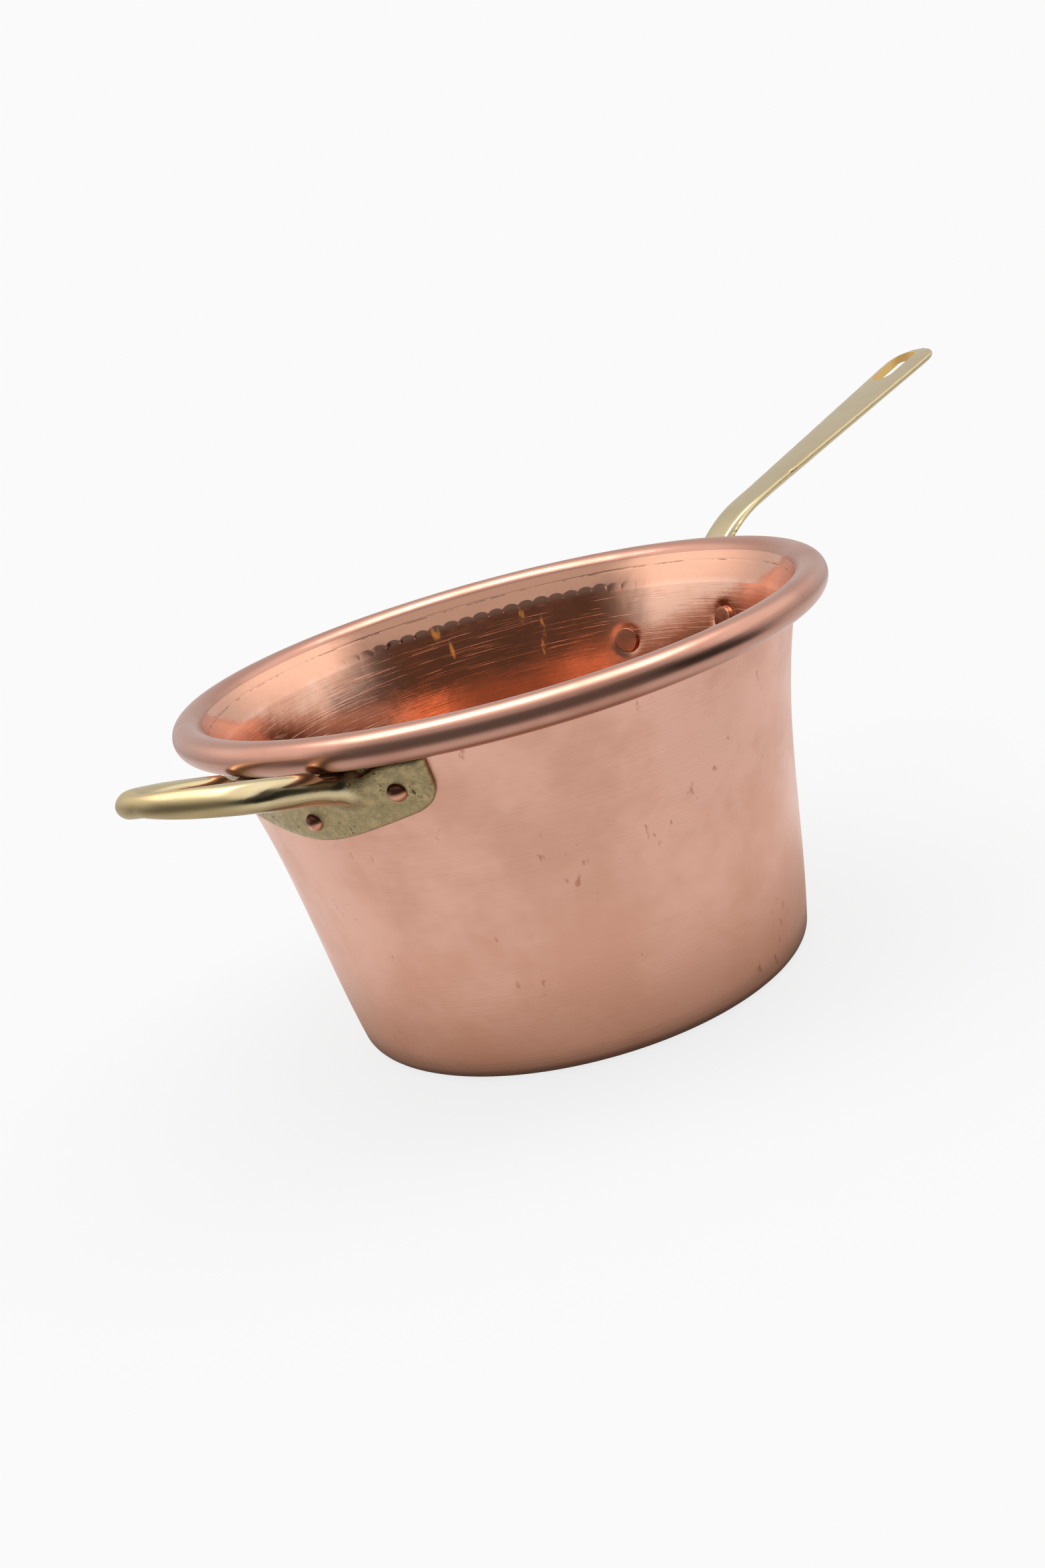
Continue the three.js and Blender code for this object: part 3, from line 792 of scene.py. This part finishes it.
def slotCut():
    middle, way, half = slotFrame()
    rise = np.cross(way, crossways)
    turn = np.linspace(-math.pi / 2, math.pi / 2, bar["slotSteps"])
    rings = []
    for depths in bar["slotReach"]:  # the slot narrows downwards, as cast
        height = depths * bar["bellyDepth"]
        radius = bar["slotWidth"] / 2 + bar["slotDraft"] * (height - bar["edgeHeight"])
        end = np.stack([half + radius * np.cos(turn), radius * np.sin(turn)], 1)
        outline = np.concatenate([end, -end])
        rings.append(middle + rise * height + outline @ np.stack([way, crossways]))
    return loft(rings)


def inSlot(points):  # true on the walls of the eye
    middle, way, half = slotFrame()
    beyondEnd = np.maximum(0, np.abs((points - middle) @ way) - half)
    return np.hypot(beyondEnd, points[:, 1] - middle[1]) < bar["slotWidth"] / 2 + bar["slotSkin"]


def buildLongHandle(finish):
    barPoints, barFaces = loft(barRings())
    trueBar = BVHTree.FromPolygons(barPoints.tolist(), barFaces)
    cutter = newObject("slot_cutter", *slotCut())
    faceOutwards(cutter)
    shells = [loft(plateRings(bar)), (barPoints, barFaces)]
    casting = cast("long_handle_casting", shells, bar["voxel"], bar["soften"], trueBar, cutter)
    points, _ = meshArrays(casting)
    # the eye's walls are rougher as-cast brass, coloured brighter partly as a painted reflection of the
    # facing brass
    addAttribute(casting, "asCast", inSlot(points))
    casting.data.materials.append(finish)
    return casting


# Rivets: a domed head on the plate, a shank and a flat tail inside the pot

def rivetShape():
    tailSeat = rivets["tailSink"] - pot["sheet"]
    tailTop = -pot["sheet"] - rivets["tailHeight"]
    headSeat = seatGap + plateThickness - rivets["headSink"]
    headTop = seatGap + plateThickness + rivets["headHeight"]
    tailRadius, headRadius, shank = [rivets[name] / 2 for name in (
        "tailDiameter", "headDiameter", "shankDiameter")]
    edge = rivets["tailEdge"]
    profile = [(tailRadius * share, tailTop - proud) for share, proud in rivets["tailCrown"]]
    tailMiddle = profile[0][1]
    profile += arc((tailRadius - edge, tailTop + edge), edge, -math.pi / 2, 0, rivets["edgeSteps"]).tolist()
    profile += [(tailRadius, tailSeat), (shank, tailSeat), (shank, headSeat)]
    dome = np.linspace(0, math.pi / 2, rivets["domeSteps"])[:-1]
    profile += [(headRadius * math.cos(t), lerp(headSeat, headTop, math.sin(t))) for t in dome]
    sides = rivets["sides"]
    points = [np.array([[0, 0, tailMiddle]])]
    points += [ring(r, z, sides) for r, z in profile]
    points.append(np.array([[0, 0, headTop]]))
    last = 1 + (len(profile) - 1) * sides
    faces = fan(0, 1, sides)
    for start in range(1, last, sides):
        faces += ringFaces(start, start + sides, sides)
    faces += [face[::-1] for face in fan(last + sides, last, sides)]
    return np.concatenate(points), faces


def buildRivets(finish):  # one rivet, set at each place by its own way outwards
    shapePoints, shapeFaces = rivetShape()
    pattern = newObject("rivet_pattern", shapePoints, shapeFaces)
    addAttribute(pattern, "tail", shapePoints[:, 2] <= rivets["tailSink"] - pot["sheet"])
    pattern.data.set_sharp_from_angle(angle=math.radians(rivets["sharpAngle"]))
    seats, ways = [np.array(part) for part in zip(*rivetSpots())]
    places = newObject("pot_rivets", seats, [])
    attribute = places.data.attributes.new("outward", "FLOAT_VECTOR", "POINT")
    attribute.data.foreach_set("vector", ways.ravel())
    inputs = {"Rivet": pattern, "Seed": rivets["seed"]}
    tree, (points, rivet, seed), keys = modifierTree("setRivets", inputs)
    shape = tree.node("GeometryNodeObjectInfo", None, {"Object": rivet}, "Geometry")
    way = named(tree, "FLOAT_VECTOR", "outward")
    turn = tree.node("FunctionNodeAlignRotationToVector", {"axis": "Z"}, {"Vector": way})
    low, high = rivets["sizeShares"]
    size = tree.node("FunctionNodeRandomValue", {"data_type": "FLOAT"}, {2: low, 3: high, 8: seed}, 1)
    scale = tree.node("ShaderNodeCombineXYZ", None, {0: size, 1: size, 2: 1.0})
    geometry = tree.node("GeometryNodeInstanceOnPoints", None, {
        "Points": points, "Instance": shape, "Rotation": turn, "Scale": scale})
    geometry = tree.node("GeometryNodeRealizeInstances", None, {"Geometry": geometry})
    geometry = tree.node("GeometryNodeSetMaterial", None, {"Geometry": geometry, "Material": finish})
    applyTree(places, tree, geometry, keys, inputs)
    discard(pattern)
    points, _ = meshArrays(places)
    nearest = np.linalg.norm(points[:, None] - seats, axis=2).argmin(1)
    outwards = ways[nearest]
    offset = points - seats[nearest]
    above = offset[:, 2] - outwards[:, 2] * np.sum(offset * outwards, axis=1)
    # painted shade on the upper half of each head, by its height over the seat
    addAttribute(places, "upper", smoothstep(above, *rivets["upperShadeRise"]))
    return places


# Finishes: a pattern is a noise's values and the two levels that it is cut at, and depths are in millimetres
# dark copper: the painted shade under the roll above the handles, and the darker dashes along the inside
# crease
darkCopper = shade(96, 62, 48)
outsideCopper = {
    "plain": shade(223, 173, 153), "blotch": shade(214, 160, 137), "nick": shade(166, 106, 80),
    "blotches": ((22, 4, 0.6), 0.38, 0.66), "blotchShare": 0.7,
    "nicks": (((300, 300, 140), 3, 0.6), 0.62, 0.72), "nickPatches": ((38, 2), 0.55, 0.62), "nickShare": 0.6,
    "fine": ((90, 90, 260), 2), "streaks": ((18, 18, 1500), 2),
    "roughness": 0.33, "blotchRoughness": 0.08, "fineRoughness": 0.06,
    "blotchDepth": 0.15, "streakDepth": 0.04,
}


def copperOutside():
    tone = outsideCopper
    f = Finish("satin_copper")
    blotch = f.patches(tone["blotches"])
    nicks = f.patches(tone["nicks"]) * f.patches(tone["nickPatches"])
    colour = f.layers(tone["plain"], (blotch * tone["blotchShare"], tone["blotch"]),
                      (nicks * tone["nickShare"], tone["nick"]))
    roughness = tone["roughness"] + f.swing(blotch, tone["blotchRoughness"])
    roughness = roughness + f.swing(f.noise(*tone["fine"]), tone["fineRoughness"])
    normal = f.bump(f.noise(*tone["streaks"]), tone["streakDepth"], f.bump(blotch, tone["blotchDepth"]))
    return f.metal(colour, roughness, normal)


rimCopper = {
    "plain": shade(187, 139, 121), "blotch": shade(165, 115, 97),
    "blotches": ((30, 4, 0.6), 0.4, 0.7), "blotchShare": 0.6,
    "streaks": ((25, 25, 1400), 2), "waves": (60, 2),
    # painted shade on the roll's underside above each handle: where, how low, and where it starts to fade
    "gapShadePlaces": ((helperAzimuth, 46), (0, 30)), "gapShadeShares": (0.985, 0.92), "gapShadeStart": 0.75,
    "roughness": 0.31, "blotchRoughness": 0.08, "streakRoughness": 0.04,
    "streakDepth": 0.02, "waveDepth": 0.1,
}


def copperRim():
    tone = rimCopper
    f = Finish("rolled_rim_copper")
    blotch = f.patches(tone["blotches"])
    streak = f.noise(*tone["streaks"])
    colour = f.blend(blotch * tone["blotchShare"], tone["plain"], tone["blotch"])
    x, y, z = f.xyz(f.place)
    radius = f.length(x, y)
    under = 1 - f.ramp(z, *[(rollCentre[1] - rollRadius * share) * mm for share in tone["gapShadeShares"]])
    for azimuth, halfWidth in tone["gapShadePlaces"]:  # painted shade in the gap under the roll above each handle
        cos, sin = heading(azimuth)
        beside = f.math("ARCCOSINE", (x * cos + y * sin) / radius) * radius
        gapShade = under * (1 - f.ramp(beside, halfWidth * tone["gapShadeStart"] * mm, halfWidth * mm))
        colour = f.blend(gapShade, colour, darkCopper)
    roughness = tone["roughness"] + f.swing(blotch, tone["blotchRoughness"])
    roughness = roughness + f.swing(streak, tone["streakRoughness"])
    normal = f.bump(streak, tone["streakDepth"], f.bump(f.noise(*tone["waves"]), tone["waveDepth"]))
    return f.metal(colour, roughness, normal)


insideCopper = {  # drops are in millimetres below the rim, angles in degrees round the pot
    "plain": shade(226, 178, 155), "blotch": shade(204, 140, 110), "lip": shade(219, 165, 139),
    "shadeTone": shade(176, 110, 82), "deepShadeTone": shade(162, 98, 70), "amber": shade(196, 128, 46),
    "blotches": ((35, 4, 0.6), 0.4, 0.68), "blotchShare": 0.5, "waves": (45, 3),
    "streaks": ((24, 24, 2300), 3, 0.6), "scratches": (((30, 30, 2600), 2), 0.6, 0.72),
    "dashes": (((150, 150, 40), 4), 0.46, 0.62), "creaseEdges": (0.08, 0.4), "creaseShare": 0.6,
    "wander": (16, 16, 0), "wanderReach": 2.4,
    # painted shade: the far wall, which faces the camera and mirrors the dark side of the studio, gets darker
    # and deeper copper tones
    "shadeTurn": 46, "shadeAngles": (22, 36), "deepShadeAngles": (34, 70),
    "lipDrops": (13, 16.5), "turnedDrops": (15.5, 20), "deepShadeDrops": (30, 70), "shadeFoot": (66, 112),
    "amberMarks": (  # angle, drop, half width and half length
        (59.5, 15.6, 2.6, 4.4), (57.0, 24.8, 1.2, 5.0),
        (39.15, 18.2, 1.7, 4.8), (34.9, 26.0, 1.2, 6.5), (35.8, 33.5, 1.0, 4.5)),
    "amberSpots": (((500, 500, 160), 3), 0.36, 0.62), "amberDullness": 0.6,
    "roughness": 0.16, "blotchRoughness": 0.1, "scratchRoughness": 0.06, "amberRoughness": 0.3,
    "turnedDepth": 0.025, "waveDepth": 0.2,
}


def copperInside():
    tone = insideCopper
    f = Finish("turned_copper_inside")
    x, y, z = f.xyz(f.place)
    radius = f.length(x, y)
    angle = f.math("ARCTAN2", y, x)
    drop = pot["height"] * mm - z
    fromShadeTurn = f.math("ABSOLUTE", angle - math.radians(tone["shadeTurn"]))

    def below(name):  # 0 above a pair of drops, 1 below it
        return f.ramp(drop, *[low * mm for low in tone[name]])

    def beside(name):  # 1 in the painted shade's middle, 0 beyond a pair of angles from it
        return 1 - f.ramp(fromShadeTurn, *[math.radians(turn) for turn in tone[name]])

    amber = 0.0
    for turn, low, halfWidth, halfLength in tone["amberMarks"]:
        sideways = (angle - math.radians(turn)) * radius / (halfWidth * mm)
        upward = (drop - low * mm) / (halfLength * mm)
        amber = amber + (1 - f.ramp(sideways * sideways + upward * upward, 0.0, 1.0))
    amber = f.math("MINIMUM", amber, 1.0) * f.patches(tone["amberSpots"])
    blotch = f.patches(tone["blotches"])
    scratch = f.patches(tone["scratches"])
    wander = f.swing(f.noise(tone["wander"]), tone["wanderReach"] * mm)
    fromCrease = f.math("ABSOLUTE", drop - pot["creaseDrop"] * mm + wander)
    crease = 1 - f.ramp(fromCrease, *[edge * mm for edge in tone["creaseEdges"]])
    onWall = 1 - below("shadeFoot")
    belowLip = below("lipDrops")
    # painted shade in two darker copper tones on the wall facing the camera
    colour = f.layers(
        tone["plain"], (blotch * tone["blotchShare"], tone["blotch"]), (1 - belowLip, tone["lip"]),
        (onWall * beside("shadeAngles") * belowLip, tone["shadeTone"]),
        (onWall * beside("deepShadeAngles") * below("deepShadeDrops"), tone["deepShadeTone"]),
        (crease * f.patches(tone["dashes"]) * tone["creaseShare"], darkCopper), (amber, tone["amber"]))
    roughness = tone["roughness"] + f.swing(blotch, tone["blotchRoughness"])
    roughness = roughness + tone["scratchRoughness"] * scratch + tone["amberRoughness"] * amber
    turned = (f.noise(*tone["streaks"]) + scratch) * below("turnedDrops")
    normal = f.bump(turned, tone["turnedDepth"], f.bump(f.noise(*tone["waves"]), tone["waveDepth"]))
    return f.metal(colour, roughness, normal, 1 - tone["amberDullness"] * amber)


brass = {
    "bright": shade(200, 183, 145), "dull": shade(174, 153, 111), "grey": shade(150, 138, 108),
    "pit": shade(84, 72, 48), "gapShade": shade(40, 28, 20), "eye": shade(234, 204, 140),
    "clouds": (60, 4, 0.6), "cloudEdges": (0.4, 0.7), "cloudShare": 0.25,
    "mottles": ((330, 4, 0.7), 0.36, 0.66), "mottleShare": 0.75, "grain": (900, 3, 0.6), "waves": (45, 1),
    "pits": ((650, 2, 0.5), 0.58, 0.7), "pitPatches": ((85, 2), 0.5, 0.64),
    "pitShare": 0.8, "pitsPolished": 0.96, "gripShare": 0.8, "gapShadeShare": 0.95,
    "brightRoughness": 0.15, "dullRoughness": 0.36, "eyeRoughness": 0.55, "cloudRoughness": 0.08,
    "mottleRoughness": 0.12, "pitRoughness": 0.2, "gripRoughness": 0.3,
    "grainHeight": 0.3, "mottleHeight": 0.5, "castDepth": 0.18, "waveDepth": 0.2,
}


def castBrass():
    f = Finish("cast_brass")
    polish, grip, asCast, crevice = [f.attribute(name) for name in ("polish", "grip", "asCast", "crevice")]
    bare = 1 - polish
    cloud = f.noise(*brass["clouds"])
    mottle = f.patches(brass["mottles"])
    pitted = f.patches(brass["pits"]) * f.patches(brass["pitPatches"]) * (1 - polish * brass["pitsPolished"])
    # near-black painted shade where the brass runs under the rolled rim
    colour = f.layers(
        brass["dull"], (polish, brass["bright"]), (mottle * bare * brass["mottleShare"], brass["grey"]),
        (f.ramp(cloud, *brass["cloudEdges"]) * brass["cloudShare"], brass["dull"]),
        (pitted * brass["pitShare"], brass["pit"]), (grip * brass["gripShare"], brass["dull"]),
        # the eye's brighter colour is partly a painted reflection
        (asCast, brass["eye"]), (crevice * brass["gapShadeShare"], brass["gapShade"]))
    roughness = lerp(brass["dullRoughness"], brass["brightRoughness"], polish)
    roughness = roughness + f.swing(cloud, brass["cloudRoughness"]) + brass["mottleRoughness"] * mottle * bare
    roughness = roughness + brass["pitRoughness"] * pitted + brass["gripRoughness"] * grip
    roughness = lerp(roughness, brass["eyeRoughness"], asCast)
    rough = f.noise(*brass["grain"]) * brass["grainHeight"] + mottle * brass["mottleHeight"]
    height = rough * bare - pitted
    normal = f.bump(height, brass["castDepth"], f.bump(f.noise(*brass["waves"]), brass["waveDepth"]))
    return f.metal(colour, roughness, normal)


rivetCopper = {
    "head": shade(206, 148, 122), "worn": shade(160, 100, 76), "tail": shade(150, 98, 74),
    "darkCopper": shade(84, 50, 38), "clouds": ((240, 3), 0.4, 0.65), "grain": (700, 2),
    "wornShare": 0.6, "upperShadeShare": 0.9, "tailShare": 0.8,
    "roughness": 0.3, "cloudRoughness": 0.12, "grainDepth": 0.05,
}


def copperRivets():
    tone = rivetCopper
    f = Finish("rivet_copper_metal")
    tail, upper = f.attribute("tail"), f.attribute("upper")
    cloud = f.patches(tone["clouds"])
    # painted shade darkens the upper half of each head
    colour = f.layers(
        tone["head"], (cloud * tone["wornShare"], tone["worn"]),
        (upper * (1 - tail) * tone["upperShadeShare"], tone["darkCopper"]),
        (tail * tone["tailShare"], tone["tail"]))
    roughness = tone["roughness"] + f.swing(cloud, tone["cloudRoughness"])
    return f.metal(colour, roughness, f.bump(f.noise(*tone["grain"]), tone["grainDepth"]))


iron = {
    "bare": shade(104, 99, 96), "rust": shade(112, 74, 52), "rustPatches": ((160, 4), 0.5, 0.7),
    "rustShare": 0.6, "roughness": 0.5, "rustRoughness": 0.25, "grain": (900, 2), "grainDepth": 0.06,
}


def ironWire():
    f = Finish("iron_wire_metal")
    rust = f.patches(iron["rustPatches"])
    colour = f.blend(rust * iron["rustShare"], iron["bare"], iron["rust"])
    roughness = iron["roughness"] + iron["rustRoughness"] * rust
    return f.metal(colour, roughness, f.bump(f.noise(*iron["grain"]), iron["grainDepth"]))


print("making finishes")
potFinishes = [copperOutside(), copperRim(), copperInside()]
brassFinish = castBrass()
rivetFinish = copperRivets()
ironFinish = ironWire()

print("raising the pot")
potPiece = buildPot(potFinishes)
print("casting the helper handle")
helperPiece = buildHelper(brassFinish)
print("casting the long handle")
barPiece = buildLongHandle(brassFinish)
print("setting the rivets")
rivetPiece = buildRivets(rivetFinish)
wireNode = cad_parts["rim_wire"]
wireNode.data.materials.clear()
wireNode.data.materials.append(ironFinish)

rivetNodes = [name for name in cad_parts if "rivet" in name]
for piece, slot, nodes in (
        (potPiece, "copper", ["pot_body"]), (helperPiece, "brass", ["helper_handle"]),
        (barPiece, "brass", ["long_handle"]), (rivetPiece, "rivet_copper", rivetNodes)):
    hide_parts(*nodes)
    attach(piece, "root")
    print(piece.name, len(piece.data.polygons), "faces")


# Camera: where the photographer stood, and the lean of the picture
view = {
    "position": (-465.3, -490.4, 273.0), "target": (-3.43, 3.26, 83.5), "roll": -0.2675,
    "focalPixels": 2642, "frameHeight": 2352, "sensor": 36, "clipStart": 10,
}
cameraPlace = Vector(view["position"]) * mm
ahead = (Vector(view["target"]) * mm - cameraPlace).normalized()
level = ahead.cross(Vector((0, 0, 1))).normalized()
upright = level.cross(ahead)
cameraRight = level * math.cos(view["roll"]) + upright * math.sin(view["roll"])
cameraUp = cameraRight.cross(ahead)
cameraData = bpy.data.cameras.new("camera")
cameraData.sensor_width = view["sensor"]
cameraData.lens = view["focalPixels"] / view["frameHeight"] * view["sensor"]
cameraData.clip_start = view["clipStart"] * mm
camera = bpy.data.objects.new("camera", cameraData)
camera.matrix_world = Matrix.Translation(cameraPlace) @ Matrix(
    (cameraRight, cameraUp, -ahead)).transposed().to_4x4()
scene.collection.objects.link(camera)
scene.camera = camera

# Studio: a pale floor inside white walls, soft light from the sides and above, dark where the camera stands
studio = {  # levels of light, with angles in degrees: a rise is up from the floor, others are from a way
    "white": 0.956, "back": 0.8, "top": 1.25, "topRise": (35, 72),
    "sideLow": 0.85, "sideHigh": 1.55, "sideRise": (3, 28), "sideShares": (0.5, 0.9),
    "dark": 0.18, "darkAngles": (56, 80), "darkLift": 0.5, "darkLiftRise": (28, 32.5),
    "darkTop": 0.7, "darkTopRise": (46, 78),
    "flag": 0.02, "flagTurn": -68, "flagAngles": (14, 21), "flagRise": (10, 16),  # black card by the camera
}
pureWhite = (1, 1, 1, 1)
axisGuard = 0.001  # keeps a division by the distance from the axis safe
flagWay = Vector((*heading(studio["flagTurn"]), 0))
facing = Vector((-ahead.x, -ahead.y, 0)).normalized()  # level way from the pot to the camera


def fromCamera(tree):  # 1 where a ray comes straight from the camera
    return tree.node("ShaderNodeLightPath", give="Is Camera Ray")


def risen(tree, height, angles):  # 0 below the first angle, 1 above the second, from the sine of an angle
    return tree.ramp(height, *[heading(angle)[1] for angle in angles])


def sector(tree, x, y, away, way, angles):  # 1 within the first angle of a level way, 0 beyond the second
    inner, outer = [heading(angle)[0] for angle in angles]
    return tree.ramp((x * way.x + y * way.y) / away, outer, inner)


def buildWorld():
    world = bpy.data.worlds.new("studio")
    world.use_nodes = True
    scene.world = world
    tree = Tree(world.node_tree)
    x, y, z = tree.xyz(tree.node("ShaderNodeTexCoord", give="Generated"))
    away = tree.length(x, y) + axisGuard
    beside = tree.math("ABSOLUTE", (y * facing.x - x * facing.y) / away)
    side = lerp(studio["sideLow"], studio["sideHigh"], risen(tree, z, studio["sideRise"]))
    walls = lerp(studio["back"], side, tree.ramp(beside, *studio["sideShares"]))
    walls = lerp(walls, studio["top"], risen(tree, z, studio["topRise"]))
    dark = studio["dark"] + studio["darkLift"] * risen(tree, z, studio["darkLiftRise"])
    dark = dark + studio["darkTop"] * risen(tree, z, studio["darkTopRise"])
    light = lerp(walls, dark, sector(tree, x, y, away, facing, studio["darkAngles"]))
    low = 1 - risen(tree, z, studio["flagRise"])
    flag = sector(tree, x, y, away, flagWay, studio["flagAngles"]) * low
    light = lerp(light, studio["flag"], flag)
    strength = lerp(light, studio["white"], fromCamera(tree))
    background = tree.node("ShaderNodeBackground", None, {0: pureWhite, 1: strength})
    tree.node("ShaderNodeOutputWorld", None, {0: background})


floorTones = {  # levels of light, with reaches in metres from the axis and angles in degrees from a way
    # foot and near are a painted shadow that metal sees round the pot; warm is a painted copper glow near it
    "radius": 3.0, "sides": 96, "colour": (0.56, 0.56, 0.56, 1), "warm": (1, 0.86, 0.74, 1),
    "foot": 0.08, "near": 0.47, "far": 0.68, "shadow": 0.16,
    "footReach": (0.09, 0.108), "nearReach": (0.09, 0.19), "farReach": (0.45, 0.95),
    "shadowReach": (0.19, 0.4), "darkReach": (0.22, 0.46), "darkAngles": (66, 104), "flagReach": (0.3, 0.4),
}


def buildFloor():
    tone = floorTones
    sides = tone["sides"]
    floor = newObject("floor", ring(tone["radius"] / mm, 0, sides), [tuple(range(sides))])
    f = Finish("pale_floor")
    x, y, _ = f.xyz(f.place)
    away = f.length(x, y) + axisGuard
    shadow = (1 - f.ramp(away, *tone["shadowReach"])) * tone["shadow"]
    clear = f.ramp(away, *tone["nearReach"])
    # what metal sees of the floor is a painted shadow round the pot's foot and a painted warm glow near it,
    # while the camera sees the floor plain
    near = lerp(tone["near"], studio["white"], clear)
    mirrored = lerp(tone["foot"], near, f.ramp(away, *tone["footReach"]))
    mirrored = lerp(mirrored, tone["far"], f.ramp(away, *tone["farReach"]))
    dark = f.ramp(away, *tone["darkReach"]) * sector(f, x, y, away, facing, tone["darkAngles"])
    mirrored = lerp(mirrored, studio["dark"], dark)
    flag = f.ramp(away, *tone["flagReach"]) * sector(f, x, y, away, flagWay, studio["flagAngles"])
    mirrored = lerp(mirrored, studio["flag"], flag)
    seen = fromCamera(f)
    matt = f.node("ShaderNodeBsdfDiffuse", None, {0: tone["colour"]})
    tint = f.blend(seen, f.blend(clear, tone["warm"], pureWhite), pureWhite)
    glow = f.node("ShaderNodeEmission", None, {0: tint, 1: lerp(mirrored, studio["white"], seen)})
    mixed = f.node("ShaderNodeMixShader", None, {0: 1 - shadow * seen, 1: matt, 2: glow})
    f.node("ShaderNodeOutputMaterial", None, {0: mixed})
    f.material.cycles.emission_sampling = "NONE"
    floor.data.materials.append(f.material)


overhead = {"length": 1.8, "width": 0.7, "height": 1.4, "power": 18}


def buildLamp():
    lamp = bpy.data.lights.new("overhead", "AREA")
    lamp.shape = "RECTANGLE"
    lamp.size = overhead["length"]
    lamp.size_y = overhead["width"]
    lamp.energy = overhead["power"]
    piece = bpy.data.objects.new("overhead", lamp)
    piece.location = (0, 0, overhead["height"])
    piece.rotation_euler = (0, 0, math.atan2(level.y, level.x))
    scene.collection.objects.link(piece)


print("lighting the studio")
buildWorld()
buildFloor()
buildLamp()
scene.view_settings.view_transform = "Standard"
